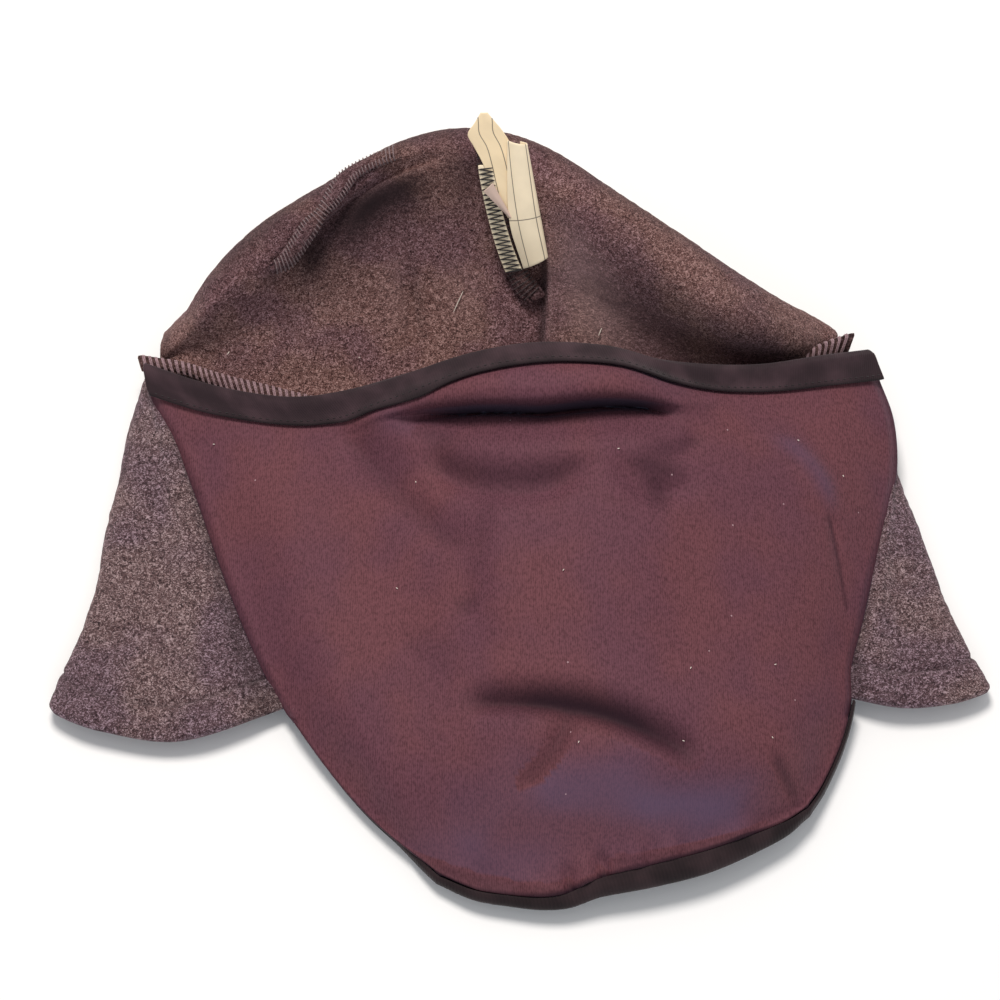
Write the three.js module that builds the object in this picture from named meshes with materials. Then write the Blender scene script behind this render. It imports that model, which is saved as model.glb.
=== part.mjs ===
// Fleece hood with a stretch face mask, lying on its back on a flat surface.
// The crown's back half is seen from inside, and its front half is turned back behind it and tucked under.
// Millimetres, +Z up, +Y towards the crown, left and right as seen from the bib.
// The origin is on the underside of the neck's nape layer, which lies flat on the surface.

import * as THREE from 'three';

// Driving dimensions
const FLEECE = 2.6;
const MASK_CLOTH = 1.4;
const TAPE = 0.9;
const FACING = 1.0;
const LABEL = 0.7;
const CLEAR = 0.35;
const TAPE_CLEAR = 0.9;
const SEAM_OVERLAP = 3.0;
const SEAM_STEP = 1.2;
const STRIP_THICKNESS = 2.2;
const STRIP_LIFT = FLEECE / 2 + STRIP_THICKNESS / 2 + 1.2;
const FACING_REACH = 9.0;
const FLOOR_LAYER = FLEECE / 2;
const FOOT_TURN = 6.6;

// Share of the mask's length that the binding covers, a tape about 10 mm wide
const BINDING_DEPTH = 0.055;
const MASK_COLUMNS = 24;

// Colours, as worn cloth in daylight
const FLEECE_BROWN = 0x645254;
const MASK_PLUM = 0x6b4349;
const BINDING_BLACK = 0x2b2224;
const LABEL_CREAM = 0xddcdb4;

// Mask edges, from the binding's top edge round to the bib: station, x, y, z
const MASK_TOP = [
  [0.00, -131, 51, 20],
  [0.08, -112, 43, 21],
  [0.16, -94, 37, 23],
  [0.24, -76, 33.5, 25.5],
  [0.32, -58, 33, 31],
  [0.40, -36, 33.5, 42],
  [0.48, -14, 35, 52],
  [0.56, 7, 35.5, 57],
  [0.64, 30, 35, 55.5],
  [0.72, 49, 34.5, 48],
  [0.79, 67, 36.5, 41.5],
  [0.86, 86, 41, 35],
  [0.93, 106, 47, 31],
  [1.00, 124.5, 54.5, 23.5],
];
const MASK_LEFT = [
  [0.00, -131, 51, 20],
  [0.05, -129, 43, 17],
  [0.15, -120, 26, 13],
  [0.25, -112, 7, 11.5],
  [0.36, -104, -15, 11],
  [0.46, -96, -36, 11],
  [0.57, -87, -57, 10.5],
  [0.68, -76.5, -76, 9],
  [0.79, -60.5, -98.5, 6.5],
  [0.88, -46, -115, 6],
  [1.00, -25, -133, 7],
];
const MASK_BOTTOM = [
  [0.00, -25, -133, 7],
  [0.10, -14, -138, 8],
  [0.20, -3, -140, 8.5],
  [0.30, 7, -141, 9],
  [0.38, 15, -140, 10],
  [0.46, 25, -136, 12.5],
  [0.58, 42, -132, 14],
  [0.76, 63, -126, 14],
  [0.90, 84, -117, 12],
  [1.00, 93, -111, 10],
];
const MASK_RIGHT = [
  [0.00, 124.5, 54.5, 23.5],
  [0.05, 127.5, 47, 20.5],
  [0.13, 131.5, 33, 18],
  [0.21, 132, 17, 15],
  [0.30, 129, 2, 13],
  [0.40, 122, -21, 12],
  [0.50, 116, -43, 11.5],
  [0.58, 111, -60, 11],
  [0.66, 110, -73, 10],
  [0.76, 105.5, -88, 8],
  [0.87, 98.5, -102.5, 8],
  [1.00, 93, -111, 10],
];

// Lip under the binding: share down the mask, shift towards the crown, rise
const LIP = [
  [0.000, 0, 0],
  [0.030, -0.8, 5.2],
  [0.055, -2.4, 8.4],
  [0.075, -3.6, 9.2],
  [0.090, -3.4, 9.0],
  [0.102, -1.0, 6.5],
  [0.115, 0, 3.5],
  [0.140, 0, 0.5],
  [0.170, 0, 0],
];
// Crease that the lip overhangs: share down the mask, shift towards the crown, rise
const CREASE = [
  [0.055, 0, 0],
  [0.075, 0, -0.5],
  [0.090, 0, -3.6],
  [0.102, 2.4, -8.9],
  [0.115, 5.0, -11.5],
  [0.128, 4.9, -8.6],
  [0.140, 5.0, -4.6],
  [0.160, 4.2, -3.0],
  [0.200, 2.4, -1.4],
  [0.260, 0, 0],
];
// Line of the crease: station along the mask's top, how far down the mask lip and crease are moved
const CREASE_LINE = [
  [0.30, -0.028],
  [0.39, -0.025],
  [0.44, -0.005],
  [0.49, 0.016],
  [0.54, 0.029],
  [0.63, 0.014],
  [0.72, 0.008],
  [0.80, 0.008],
];

// Folds of the mask, each along an arc from its start to its end:
// start x, y, end x, y, sag of the arc, half width, rise (a hollow is negative)
const MASK_FOLDS = [
  { name: 'swell over the face', path: [-70, -30, 95, -30], sag: 0, width: 62, rise: 7 },
  { name: 'swell of the bib', path: [-40, -98, 92, -92], sag: -6, width: 22, rise: 7 },
  { name: 'ridge below the crease', path: [-52, 22, 46, 0], sag: -12, width: 6, rise: 2.2 },
  { name: 'hollow of the mouth', path: [-29, 3, 22, -10], sag: -9, width: 6, rise: -4.5 },
  { name: 'pinch on the right', path: [34, -9, 56, -12], sag: -4, width: 6, rise: -4.5 },
  { name: 'pleat into the pinch', path: [60, 9, 47, -4], sag: 2, width: 3.5, rise: -2 },
  { name: 'slant hollow on the left', path: [-57, 21, -18, -31], sag: -2, width: 6, rise: -3 },
  { name: 'dent below the mouth', path: [-15, -40, -16, -54], sag: 0, width: 5, rise: -2 },
  { name: 'ridge of the chin', path: [-6, -14, -6, -60], sag: 0, width: 6, rise: 1.6 },
  { name: 'crease across the chin', path: [-13, -83, 54, -100], sag: 3, width: 5, rise: -5.5 },
  { name: 'branch below the chin', path: [16, -92, 0, -110], sag: 2, width: 4, rise: -3 },
  { name: 'ridge to the right seam', path: [86, 13, 106, -9], sag: 4, width: 5, rise: 2.4 },
  { name: 'tuck along the right seam', path: [106, -12, 109, -42], sag: 1, width: 2.2, rise: -2.2 },
];

// Line of the seam between neck and crown, on the surface: middle y, ends' y and how sharply it turns up
const NAPE = { middleX: -4, halfWidth: 129, middleY: 29.5, endY: 53.5, power: 1.7 };

// Crown sections: station, seam x, how far it stands back from the nape line, its z,
// centre of the ridge roll x, y, z, its radius, how far the foot stands behind it, tucked hem's x and y
const CROWN = [
  [0.000, -126, 4.0, 9.0, -127, 65, 9.5, 3.2, 8.5, -127, 63],
  [0.060, -117, 4.0, 8.5, -118.5, 69, 17, 5.0, 14, -121, 61],
  [0.140, -98, 2.5, 5.5, -108.5, 74, 29.5, 8.5, 17, -110, 57],
  [0.220, -80, 1.5, 3.0, -91, 86.5, 38, 10.5, 22, -94, 56],
  [0.320, -55, 0.5, 1.6, -66, 100, 45, 11, 27, -70, 55],
  [0.420, -28, 0, 1.3, -40, 114, 50.5, 11, 30, -42, 54],
  [0.510, -4, 0, 1.3, -15, 116.5, 54, 11, 32, -16, 54],
  [0.590, 20, 0, 1.3, 10, 109, 52.5, 11, 31, 12, 54],
  [0.680, 46, 0, 1.3, 38, 91, 47, 11, 28, 40, 55],
  [0.780, 74, 0.5, 1.8, 68, 72, 39, 11, 23, 70, 57],
  [0.870, 93, 1.5, 4.0, 92, 66, 26, 8, 13, 93, 62],
  [0.940, 105, 4.5, 9.0, 105, 68, 17, 5, 8, 106, 64],
  [1.000, 113, 8.0, 12.5, 113, 67.5, 13, 3.0, 6.5, 113, 65],
];

// Neck sections, from the nape line to the hem: station, left fold x, y, right fold x, y,
// height of the cheeks, y of the nape layer's middle, how far the cheeks dip towards the hem
const NECK = [
  [0.00, -133, 53, 125, 53, 11, 29, 0],
  [0.18, -136, 36, 130, 34, 9.5, 14, 0],
  [0.38, -139, 9, 134, 10, 8.5, -6, 0],
  [0.58, -142, -15, 140, -14, 8.5, -26, 0],
  [0.78, -145, -40, 146, -38, 8, -46, -2],
  [0.92, -151, -60, 152, -57, 8, -60, -9],
  [1.00, -154, -71, 156, -65, 7.6, -67, -15],
];
// Where the neck's hem meets the mask's side edges, as stations of those edges
const HEM_ON_MASK = { left: 0.66, right: 0.635 };

// Bib facing: station along the free edge, reach past the mask's edge, depth below it
const BIB_EDGE = [
  [0.00, 0.3, 3.2],
  [0.12, 0.3, 3.2],
  [0.26, 0.6, 3.2],
  [0.36, 1.4, 4.2],
  [0.46, 2.0, 5.2],
  [0.56, 4.2, 8.6],
  [0.66, 4.6, 9.2],
  [0.74, 2.8, 7.4],
  [0.80, 0.6, 5.2],
  [0.88, 0.3, 4.2],
  [1.00, 0.3, 4.0],
];

// Overlocked seam allowance along the nape line: station, root x, y, z, free edge x, y, z
const NAPE_SEAM = [
  [0.000, -133.0, 55.5, 13.6, -134.2, 59.0, 15.6],
  [0.032, -125.0, 55.0, 13.2, -126.5, 58.2, 14.7],
  [0.064, -116.9, 54.0, 12.2, -117.8, 56.9, 13.8],
  [0.124, -101.8, 47.8, 9.7, -104.4, 53.2, 12.0],
  [0.183, -87.0, 43.5, 7.6, -89.2, 50.0, 10.1],
  [0.250, -70.6, 39.7, 6.2, -72.0, 46.2, 8.3],
  [0.380, -38.0, 34.5, 5.6, -39.0, 41.0, 7.4],
  [0.500, -7.5, 33.0, 5.6, -8.0, 39.5, 7.4],
  [0.640, 27.5, 34.6, 5.6, 27.0, 41.0, 7.8],
  [0.780, 62.9, 41.4, 6.8, 61.9, 47.0, 10.2],
  [0.870, 85.5, 49.0, 10.3, 85.0, 52.4, 15.8],
  [0.904, 94.0, 50.8, 14.5, 94.0, 53.5, 21.0],
  [0.920, 98.0, 52.5, 15.5, 98.0, 55.0, 21.5],
  [0.946, 104.5, 54.5, 17.0, 104.5, 57.5, 22.6],
  [0.972, 111.0, 56.5, 18.0, 111.5, 60.0, 24.0],
  [1.000, 116.5, 58.0, 19.0, 118.5, 62.0, 25.5],
];

// Dart allowances pressed flat on the crown's inside: station, root u, v, free edge u, v
const LEFT_DART = [
  [0.00, 0.408, 0.445, 0.416, 0.405],
  [0.25, 0.360, 0.440, 0.371, 0.402],
  [0.50, 0.326, 0.408, 0.342, 0.370],
  [0.75, 0.286, 0.350, 0.303, 0.310],
  [0.90, 0.254, 0.312, 0.266, 0.282],
  [1.00, 0.236, 0.304, 0.240, 0.286],
];
const CENTRE_DART = [
  [0.00, 0.532, 0.400, 0.515, 0.400],
  [0.30, 0.537, 0.310, 0.521, 0.304],
  [0.60, 0.546, 0.250, 0.528, 0.246],
  [0.82, 0.557, 0.212, 0.538, 0.206],
  [0.94, 0.568, 0.195, 0.548, 0.184],
  [1.00, 0.574, 0.186, 0.560, 0.176],
];

// Label leaves over the centre dart: station from the bottom, left edge x, y, z, right edge x, y, z
const LABEL_FRONT = [
  [0.00, 2.4, 82.4, 37.5, 10.8, 84.1, 41.9],
  [0.39, -2.6, 92.5, 52.2, 7.9, 93.5, 54.6],
  [1.00, -3.4, 109.9, 74.5, 3.3, 109.0, 73.7],
];
const LABEL_BACK = [
  [0.00, -3.2, 94.1, 51.8, -1.1, 94.7, 52.7],
  [0.20, -8.8, 100.9, 60.7, -1.1, 100.8, 60.9],
  [0.42, -11.9, 106.0, 67.2, -1.7, 105.8, 67.4],
  [0.60, -15.0, 109.8, 71.8, -2.2, 109.6, 72.1],
  [0.72, -17.0, 112.3, 75.0, -5.0, 112.6, 76.0],
  [0.88, -14.6, 114.7, 78.4, -8.1, 114.9, 79.1],
  [1.00, -12.6, 116.7, 81.2, -10.4, 116.7, 81.2],
];

// Direction that the label faces
const LABEL_FACING = new THREE.Vector3(-0.03, -0.80, 0.59);

// Sections of the leaves: station, share of the width, rise; the front leaf is rolled under at the right
const ROLLED_LEAF = [
  [0.00, 0.00, 0.0],
  [0.25, 0.35, 1.5],
  [0.50, 0.72, 1.7],
  [0.70, 0.98, 0.4],
  [0.82, 0.96, -1.2],
  [1.00, 0.66, -2.0],
];
const FLAT_LEAF = [
  [0.00, 0.00, 0.0],
  [0.50, 0.50, 0.3],
  [1.00, 1.00, 0.0],
];

// Cubic curve through rows of a station and its values, with slopes from the neighbouring rows
function between(rows, at) {
  const last = rows.length - 1;
  const here = Math.min(Math.max(at, rows[0][0]), rows[last][0]);
  let i = 0;
  while (i < last - 1 && here >= rows[i + 1][0]) i += 1;
  const slope = (row, k) => {
    const before = rows[Math.max(row - 1, 0)];
    const after = rows[Math.min(row + 1, last)];
    return (after[k] - before[k]) / (after[0] - before[0]);
  };
  const span = rows[i + 1][0] - rows[i][0];
  const t = (here - rows[i][0]) / span;
  const values = [];
  for (let k = 1; k < rows[0].length; k += 1) {
    values.push(
      (2 * t ** 3 - 3 * t ** 2 + 1) * rows[i][k]
      + (t ** 3 - 2 * t ** 2 + t) * span * slope(i, k)
      + (3 * t ** 2 - 2 * t ** 3) * rows[i + 1][k]
      + (t ** 3 - t ** 2) * span * slope(i + 1, k),
    );
  }
  return values;
}

function smooth(low, high, x) {
  const t = Math.min(Math.max((x - low) / (high - low), 0), 1);
  return t * t * (3 - 2 * t);
}

function mix(a, b, t) {
  return a + (b - a) * t;
}

function vector(values) {
  return new THREE.Vector3(...values);
}

// Even stations from 0 to 1
function even(count) {
  return Array.from({ length: count + 1 }, (_, i) => i / count);
}

// Closed body of one thickness round a surface sampled at the given stations
function sheetSolid(surface, uStations, vStations, thickness) {
  const nu = uStations.length;
  const nv = vStations.length;
  const middle = vStations.map((v) => uStations.map((u) => surface(u, v)));
  const positions = [];
  for (const side of [0.5, -0.5]) {
    for (let j = 0; j < nv; j += 1) {
      for (let i = 0; i < nu; i += 1) {
        const alongU = middle[j][Math.min(i + 1, nu - 1)].clone().sub(middle[j][Math.max(i - 1, 0)]);
        const alongV = middle[Math.min(j + 1, nv - 1)][i].clone().sub(middle[Math.max(j - 1, 0)][i]);
        const normal = alongU.cross(alongV).normalize();
        positions.push(...middle[j][i].clone().addScaledVector(normal, side * thickness).toArray());
      }
    }
  }
  const at = (side, i, j) => side * nu * nv + j * nu + i;
  const faces = [];
  const quad = (a, b, c, d) => faces.push(a, b, c, a, c, d);
  for (let j = 0; j < nv - 1; j += 1) {
    for (let i = 0; i < nu - 1; i += 1) {
      quad(at(0, i, j), at(0, i + 1, j), at(0, i + 1, j + 1), at(0, i, j + 1));
      quad(at(1, i, j), at(1, i, j + 1), at(1, i + 1, j + 1), at(1, i + 1, j));
    }
  }
  for (let i = 0; i < nu - 1; i += 1) {
    quad(at(0, i, 0), at(1, i, 0), at(1, i + 1, 0), at(0, i + 1, 0));
    quad(at(0, i + 1, nv - 1), at(1, i + 1, nv - 1), at(1, i, nv - 1), at(0, i, nv - 1));
  }
  for (let j = 0; j < nv - 1; j += 1) {
    quad(at(0, 0, j + 1), at(1, 0, j + 1), at(1, 0, j), at(0, 0, j));
    quad(at(0, nu - 1, j), at(1, nu - 1, j), at(1, nu - 1, j + 1), at(0, nu - 1, j + 1));
  }
  const geometry = new THREE.BufferGeometry();
  geometry.setAttribute('position', new THREE.Float32BufferAttribute(positions, 3));
  geometry.setIndex(faces);
  geometry.computeVertexNormals();
  return geometry;
}

// Face mask: a patch between its four edges, raised by the swell of the cloth and its folds
function foldRise(x, y) {
  let rise = 0;
  for (const { path: [x0, y0, x1, y1], sag, width, rise: height } of MASK_FOLDS) {
    const length = Math.hypot(x1 - x0, y1 - y0);
    const along = ((x - x0) * (x1 - x0) + (y - y0) * (y1 - y0)) / length ** 2;
    const arc = Math.min(Math.max(along, 0), 1);
    const across = ((y - y0) * (x1 - x0) - (x - x0) * (y1 - y0)) / length - sag * 4 * arc * (1 - arc);
    const fade = Math.min(1.5 * width / length, 0.45);
    const ends = smooth(-fade, fade, along) * smooth(-fade, fade, 1 - along);
    rise += height * ends * Math.exp(-((across / width) ** 2));
  }
  return rise;
}

function maskAt(u, v) {
  const top = vector(between(MASK_TOP, u));
  const bottom = vector(between(MASK_BOTTOM, u));
  const left = vector(between(MASK_LEFT, v));
  const right = vector(between(MASK_RIGHT, v));
  const [topLeft, topRight] = [0, 1].map((s) => vector(between(MASK_TOP, s)));
  const [bottomLeft, bottomRight] = [0, 1].map((s) => vector(between(MASK_BOTTOM, s)));
  const point = top.multiplyScalar(1 - v).addScaledVector(bottom, v)
    .addScaledVector(left, 1 - u).addScaledVector(right, u)
    .addScaledVector(topLeft, -(1 - u) * (1 - v)).addScaledVector(topRight, -u * (1 - v))
    .addScaledVector(bottomLeft, -(1 - u) * v).addScaledVector(bottomRight, -u * v);
  const sides = smooth(0, 0.15, u) * smooth(0, 0.15, 1 - u);
  const swell = 7 * sides * smooth(0, 0.3, v) * smooth(0, 0.25, 1 - v);
  const folds = sides * smooth(0.03, 0.075, v) * smooth(0, 0.22, 1 - v) * foldRise(point.x, point.y);
  const lipped = smooth(0.26, 0.46, u) * smooth(0.20, 0.38, 1 - u);
  const creased = smooth(0.35, 0.45, u) * smooth(0.27, 0.37, 1 - u);
  const moved = v - smooth(0.03, 0.09, v) * between(CREASE_LINE, u)[0];
  const [lipShift, lipRise] = between(LIP, moved);
  const [creaseShift, creaseRise] = between(CREASE, moved);
  point.y += lipped * lipShift + creased * creaseShift;
  point.z += swell + folds + lipped * lipRise + creased * creaseRise;
  return point;
}

// Binding: tape folded over the mask's top edge, on both faces of it down to the binding's depth
function bindingAt(u, v) {
  const face = MASK_CLOTH / 2 + TAPE_CLEAR + TAPE / 2;
  const profile = [
    [0.00, face, BINDING_DEPTH, 0],
    [0.20, face, BINDING_DEPTH / 2, 0],
    [0.38, face, 0, 0],
    [0.50, 0, 0, -face],
    [0.62, -face, 0, 0],
    [0.80, -face, BINDING_DEPTH / 2, 0],
    [1.00, -face, BINDING_DEPTH, 0],
  ];
  const [offset, depth, beyond] = between(profile, v);
  const down = Math.max(depth, 0);
  const column = 1 / MASK_COLUMNS;
  const row = BINDING_DEPTH / 2;
  const along = maskAt(Math.min(u + column, 1), down).sub(maskAt(Math.max(u - column, 0), down));
  const slope = maskAt(u, down + row).sub(maskAt(u, Math.max(down - row, 0))).normalize();
  const normal = slope.clone().cross(along).normalize();
  return maskAt(u, down).addScaledVector(normal, offset).addScaledVector(slope, beyond);
}

// Bib facing: cloth rolled under the mask's free edge, from one hem corner round to the other
function bibEdge(s) {
  const corners = { left: 0.70, right: 0.66 };
  const shares = { left: 0.30, bottom: 0.80 };
  if (s < shares.left) return vector(between(MASK_LEFT, mix(corners.left, 1, s / shares.left)));
  if (s < shares.bottom) {
    const share = (s - shares.left) / (shares.bottom - shares.left);
    return vector(between(MASK_BOTTOM, share));
  }
  const share = (s - shares.bottom) / (1 - shares.bottom);
  return vector(between(MASK_RIGHT, mix(1, corners.right, share)));
}

function facingAt(s, v) {
  const [reach, depth] = between(BIB_EDGE, s);
  const edge = bibEdge(s);
  const step = 0.03;
  const along = bibEdge(Math.min(s + step, 1)).sub(bibEdge(Math.max(s - step, 0))).setZ(0).normalize();
  const outward = new THREE.Vector3(along.y, -along.x, 0);
  const start = 2 * CLEAR + FACING / 2;
  const profile = [
    [0.00, start, 0.1],
    [0.16, start + reach * 0.7, -0.14 * depth],
    [0.34, start + reach, -0.5 * depth],
    [0.50, start + reach * 0.5, -0.86 * depth],
    [0.64, -1.5, -depth],
    [1.00, -FACING_REACH, -depth],
  ];
  const [out, rise] = between(profile, v);
  const point = edge.addScaledVector(outward, out);
  point.z = Math.max(point.z + rise, FACING / 2 + 0.3);
  return point;
}

// Nape line between neck and crown, at a given x
function napeY(x) {
  const { middleX, halfWidth, middleY, endY, power } = NAPE;
  return middleY + (endY - middleY) * Math.min(Math.abs(x - middleX) / halfWidth, 1.05) ** power;
}

// Crown: from the nape seam up its inside to the ridge, over the roll, down behind and in under itself
function crownAt(u, v) {
  const [seamX, back, seamZ, ridgeX, ridgeY, ridgeZ, radius, foot, hemX, hemY] = between(CROWN, u);
  const seamY = napeY(seamX) + SEAM_STEP + back;
  const footY = ridgeY + radius * 0.6 + foot;
  const turnY = footY - Math.max(foot * 0.2, 4.4);
  const up = (y, z) => [mix(seamX, ridgeX, y), mix(seamY, ridgeY, y + 0.03), mix(seamZ, ridgeZ, z)];
  const section = [
    [0.00, seamX, seamY, seamZ],
    [0.10, ...up(0.30, 0.17)],
    [0.20, ...up(0.62, 0.53)],
    [0.30, ridgeX, ridgeY - radius * 0.80, ridgeZ + radius * 0.45],
    [0.36, ridgeX, ridgeY - radius * 0.35, ridgeZ + radius * 0.85],
    [0.41, ridgeX, ridgeY + radius * 0.15, ridgeZ + radius],
    [0.46, ridgeX, ridgeY + radius * 0.80, ridgeZ + radius * 0.60],
    [0.55, ridgeX, mix(ridgeY, footY, 0.66), mix(ridgeZ, FOOT_TURN, 0.39)],
    [0.63, ridgeX, footY - 0.6, Math.max(ridgeZ * 0.30, FOOT_TURN)],
    [0.69, ridgeX, footY, mix(FLOOR_LAYER, FOOT_TURN, 0.55)],
    [0.74, ridgeX, turnY, FLOOR_LAYER],
    [0.82, mix(ridgeX, hemX, 0.5), mix(turnY, hemY, 0.33), FLOOR_LAYER],
    [0.91, hemX, mix(turnY, hemY, 0.66), FLOOR_LAYER],
    [1.00, hemX, hemY, FLOOR_LAYER],
  ];
  const point = vector(between(section, v));
  point.z = Math.max(point.z, FLOOR_LAYER);
  return point;
}

// Crown's inside, lifted along its normal
function aboveCrown(u, v, lift) {
  const step = 0.01;
  const alongU = crownAt(u + step, v).sub(crownAt(u - step, v));
  const alongV = crownAt(u, v + step).sub(crownAt(u, v - step));
  const normal = alongU.cross(alongV).normalize();
  return crownAt(u, v).addScaledVector(normal, lift);
}

// Strip of the nape seam, between its root line and its free edge
function napeSeamAt(s, t) {
  const ends = between(NAPE_SEAM, s);
  return vector(ends.slice(0, 3)).lerp(vector(ends.slice(3)), t);
}

// Strip on the crown's inside between a root line and a free edge
function dartAt(rows, s, t) {
  const [rootU, rootV, edgeU, edgeV] = between(rows, s);
  return aboveCrown(mix(rootU, edgeU, t), mix(rootV, edgeV, t), STRIP_LIFT);
}

// Leaf of the label: straight from its left to its right edge, plus the rise of its section
function leafAt(rows, section, s, t) {
  const edges = between(rows, s);
  const [across, rise] = between(section, t);
  return vector(edges.slice(0, 3)).lerp(vector(edges.slice(3)), across).addScaledVector(LABEL_FACING, rise);
}

// Neck: a tube flattened on the surface, open along the mask, whose two cheeks reach in under the mask
function neckAt(u, v) {
  const [leftX, leftY, rightX, rightY, height, backY, dip] = between(NECK, v);
  const half = height / 2;
  const inner = (rows, station, inward) => {
    const [x, y, z] = between(rows, station * v);
    const underBinding = 1.5 * (1 - smooth(0.06, 0.14, v));
    const drop = MASK_CLOTH / 2 + CLEAR + FLEECE / 2 + 0.15 + underBinding;
    return [x + inward * SEAM_OVERLAP, y, z - drop];
  };
  const left = inner(MASK_LEFT, HEM_ON_MASK.left, 1);
  const right = inner(MASK_RIGHT, HEM_ON_MASK.right, -1);
  const toLeft = (t, z, drop) => [mix(left[0], leftX, t), mix(left[1], leftY, t) + dip * drop, z];
  const toRight = (t, z, drop) => [mix(right[0], rightX, t), mix(right[1], rightY, t) + dip * drop, z];
  const onFloor = (x) => {
    const sideY = mix(leftY, rightY, (x - leftX) / (rightX - leftX));
    const share = Math.abs((2 * x - leftX - rightX) / (rightX - leftX));
    return [x, mix(backY, sideY, share ** NAPE.power), FLOOR_LAYER];
  };
  const section = [
    [0.000, ...left],
    [0.080, ...toLeft(0.45, mix(left[2], height, 0.5), 0.9)],
    [0.140, ...toLeft(0.80, height, 0.7)],
    [0.180, leftX + half * 0.28, leftY + dip * 0.3, height * 0.88],
    [0.215, leftX, leftY, half + 0.6],
    [0.250, leftX + half * 0.3, leftY, 1.9],
    [0.320, ...onFloor(leftX + 14)],
    [0.410, ...onFloor(mix(leftX, rightX, 0.27))],
    [0.500, ...onFloor(mix(leftX, rightX, 0.5))],
    [0.590, ...onFloor(mix(leftX, rightX, 0.73))],
    [0.680, ...onFloor(rightX - 14)],
    [0.750, rightX - half * 0.3, rightY, 1.9],
    [0.785, rightX, rightY, half + 0.6],
    [0.820, rightX - half * 0.28, rightY + dip * 0.2, height * 0.88],
    [0.860, ...toRight(0.75, height, 0.4)],
    [0.920, ...toRight(0.40, mix(right[2], height, 0.5), 0.4)],
    [1.000, ...right],
  ];
  const point = vector(between(section, u));
  point.z = Math.max(point.z, FLOOR_LAYER);
  return point;
}

function cloth(color, roughness) {
  return new THREE.MeshStandardMaterial({ color, roughness, metalness: 0 });
}

function piece(name, geometry, material) {
  const mesh = new THREE.Mesh(geometry, material);
  mesh.name = name;
  return mesh;
}

const crownStations = {
  around: even(26),
  up: [0, 0.05, 0.10, 0.15, 0.20, 0.25, 0.30, 0.33, 0.36, 0.385, 0.41, 0.435, 0.46, 0.505, 0.55,
    0.59, 0.63, 0.66, 0.69, 0.715, 0.74, 0.78, 0.82, 0.91, 1],
};
const neckStations = {
  around: [0, 0.05, 0.10, 0.14, 0.17, 0.195, 0.215, 0.235, 0.26, 0.30, 0.36, 0.43, 0.5,
    0.57, 0.64, 0.70, 0.74, 0.765, 0.785, 0.805, 0.83, 0.86, 0.90, 0.95, 1],
  along: [0, 0.08, 0.18, 0.30, 0.42, 0.54, 0.66, 0.78, 0.90, 1],
};
const maskStations = {
  across: even(MASK_COLUMNS),
  down: [0, 0.0275, 0.055, 0.075, 0.09, 0.102, 0.115, 0.128, 0.14, 0.152, 0.165, 0.18, 0.20, 0.25,
    0.31, 0.37, 0.43, 0.50, 0.56, 0.61, 0.66, 0.71, 0.76, 0.82, 0.88, 0.94, 1],
};
const tapeTurn = [0, 0.2, 0.38, 0.44, 0.5, 0.56, 0.62, 0.8, 1];
const facingTurn = [0, 0.12, 0.24, 0.36, 0.48, 0.64, 1];

const hood = new THREE.Group();
hood.add(piece(
  'crown',
  sheetSolid(crownAt, crownStations.around, crownStations.up, FLEECE),
  cloth(FLEECE_BROWN, 1),
));
hood.add(piece(
  'neck',
  sheetSolid(neckAt, neckStations.around, neckStations.along, FLEECE),
  cloth(FLEECE_BROWN, 1),
));
hood.add(piece(
  'face_mask',
  sheetSolid(maskAt, maskStations.across, maskStations.down, MASK_CLOTH),
  cloth(MASK_PLUM, 0.75),
));
hood.add(piece(
  'mask_binding',
  sheetSolid(bindingAt, maskStations.across, tapeTurn, TAPE),
  cloth(BINDING_BLACK, 0.85),
));
hood.add(piece(
  'bib_facing',
  sheetSolid(facingAt, even(26), facingTurn, FACING),
  cloth(BINDING_BLACK, 0.95),
));
const strips = {
  nape_seam: { surface: napeSeamAt, columns: 44 },
  dart_left: { surface: (s, t) => dartAt(LEFT_DART, s, t), columns: 12 },
  dart_centre: { surface: (s, t) => dartAt(CENTRE_DART, s, t), columns: 12 },
};
for (const [name, { surface, columns }] of Object.entries(strips)) {
  hood.add(piece(name, sheetSolid(surface, even(columns), even(3), STRIP_THICKNESS), cloth(FLEECE_BROWN, 1)));
}
const leaves = {
  label_front: { rows: LABEL_FRONT, section: ROLLED_LEAF },
  label_back: { rows: LABEL_BACK, section: FLAT_LEAF },
};
for (const [name, { rows, section }] of Object.entries(leaves)) {
  const leaf = (s, t) => leafAt(rows, section, s, t);
  hood.add(piece(name, sheetSolid(leaf, even(10), even(10), LABEL), cloth(LABEL_CREAM, 0.7)));
}

export default hood;
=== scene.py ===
"""Fleece hood with a stretch face mask, lying on its back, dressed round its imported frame.

The crown's back half is seen from inside, with two overlocked darts and a blank label, and its front
half is turned back and tucked under. The neck lies flat on the floor under the smooth mask.
Tables and sizes are in millimetres, in the frame of the part, and meshes are in metres.
"""
import logging
import math
from collections.abc import Callable, Sequence
from dataclasses import dataclass, field
from enum import Enum

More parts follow.
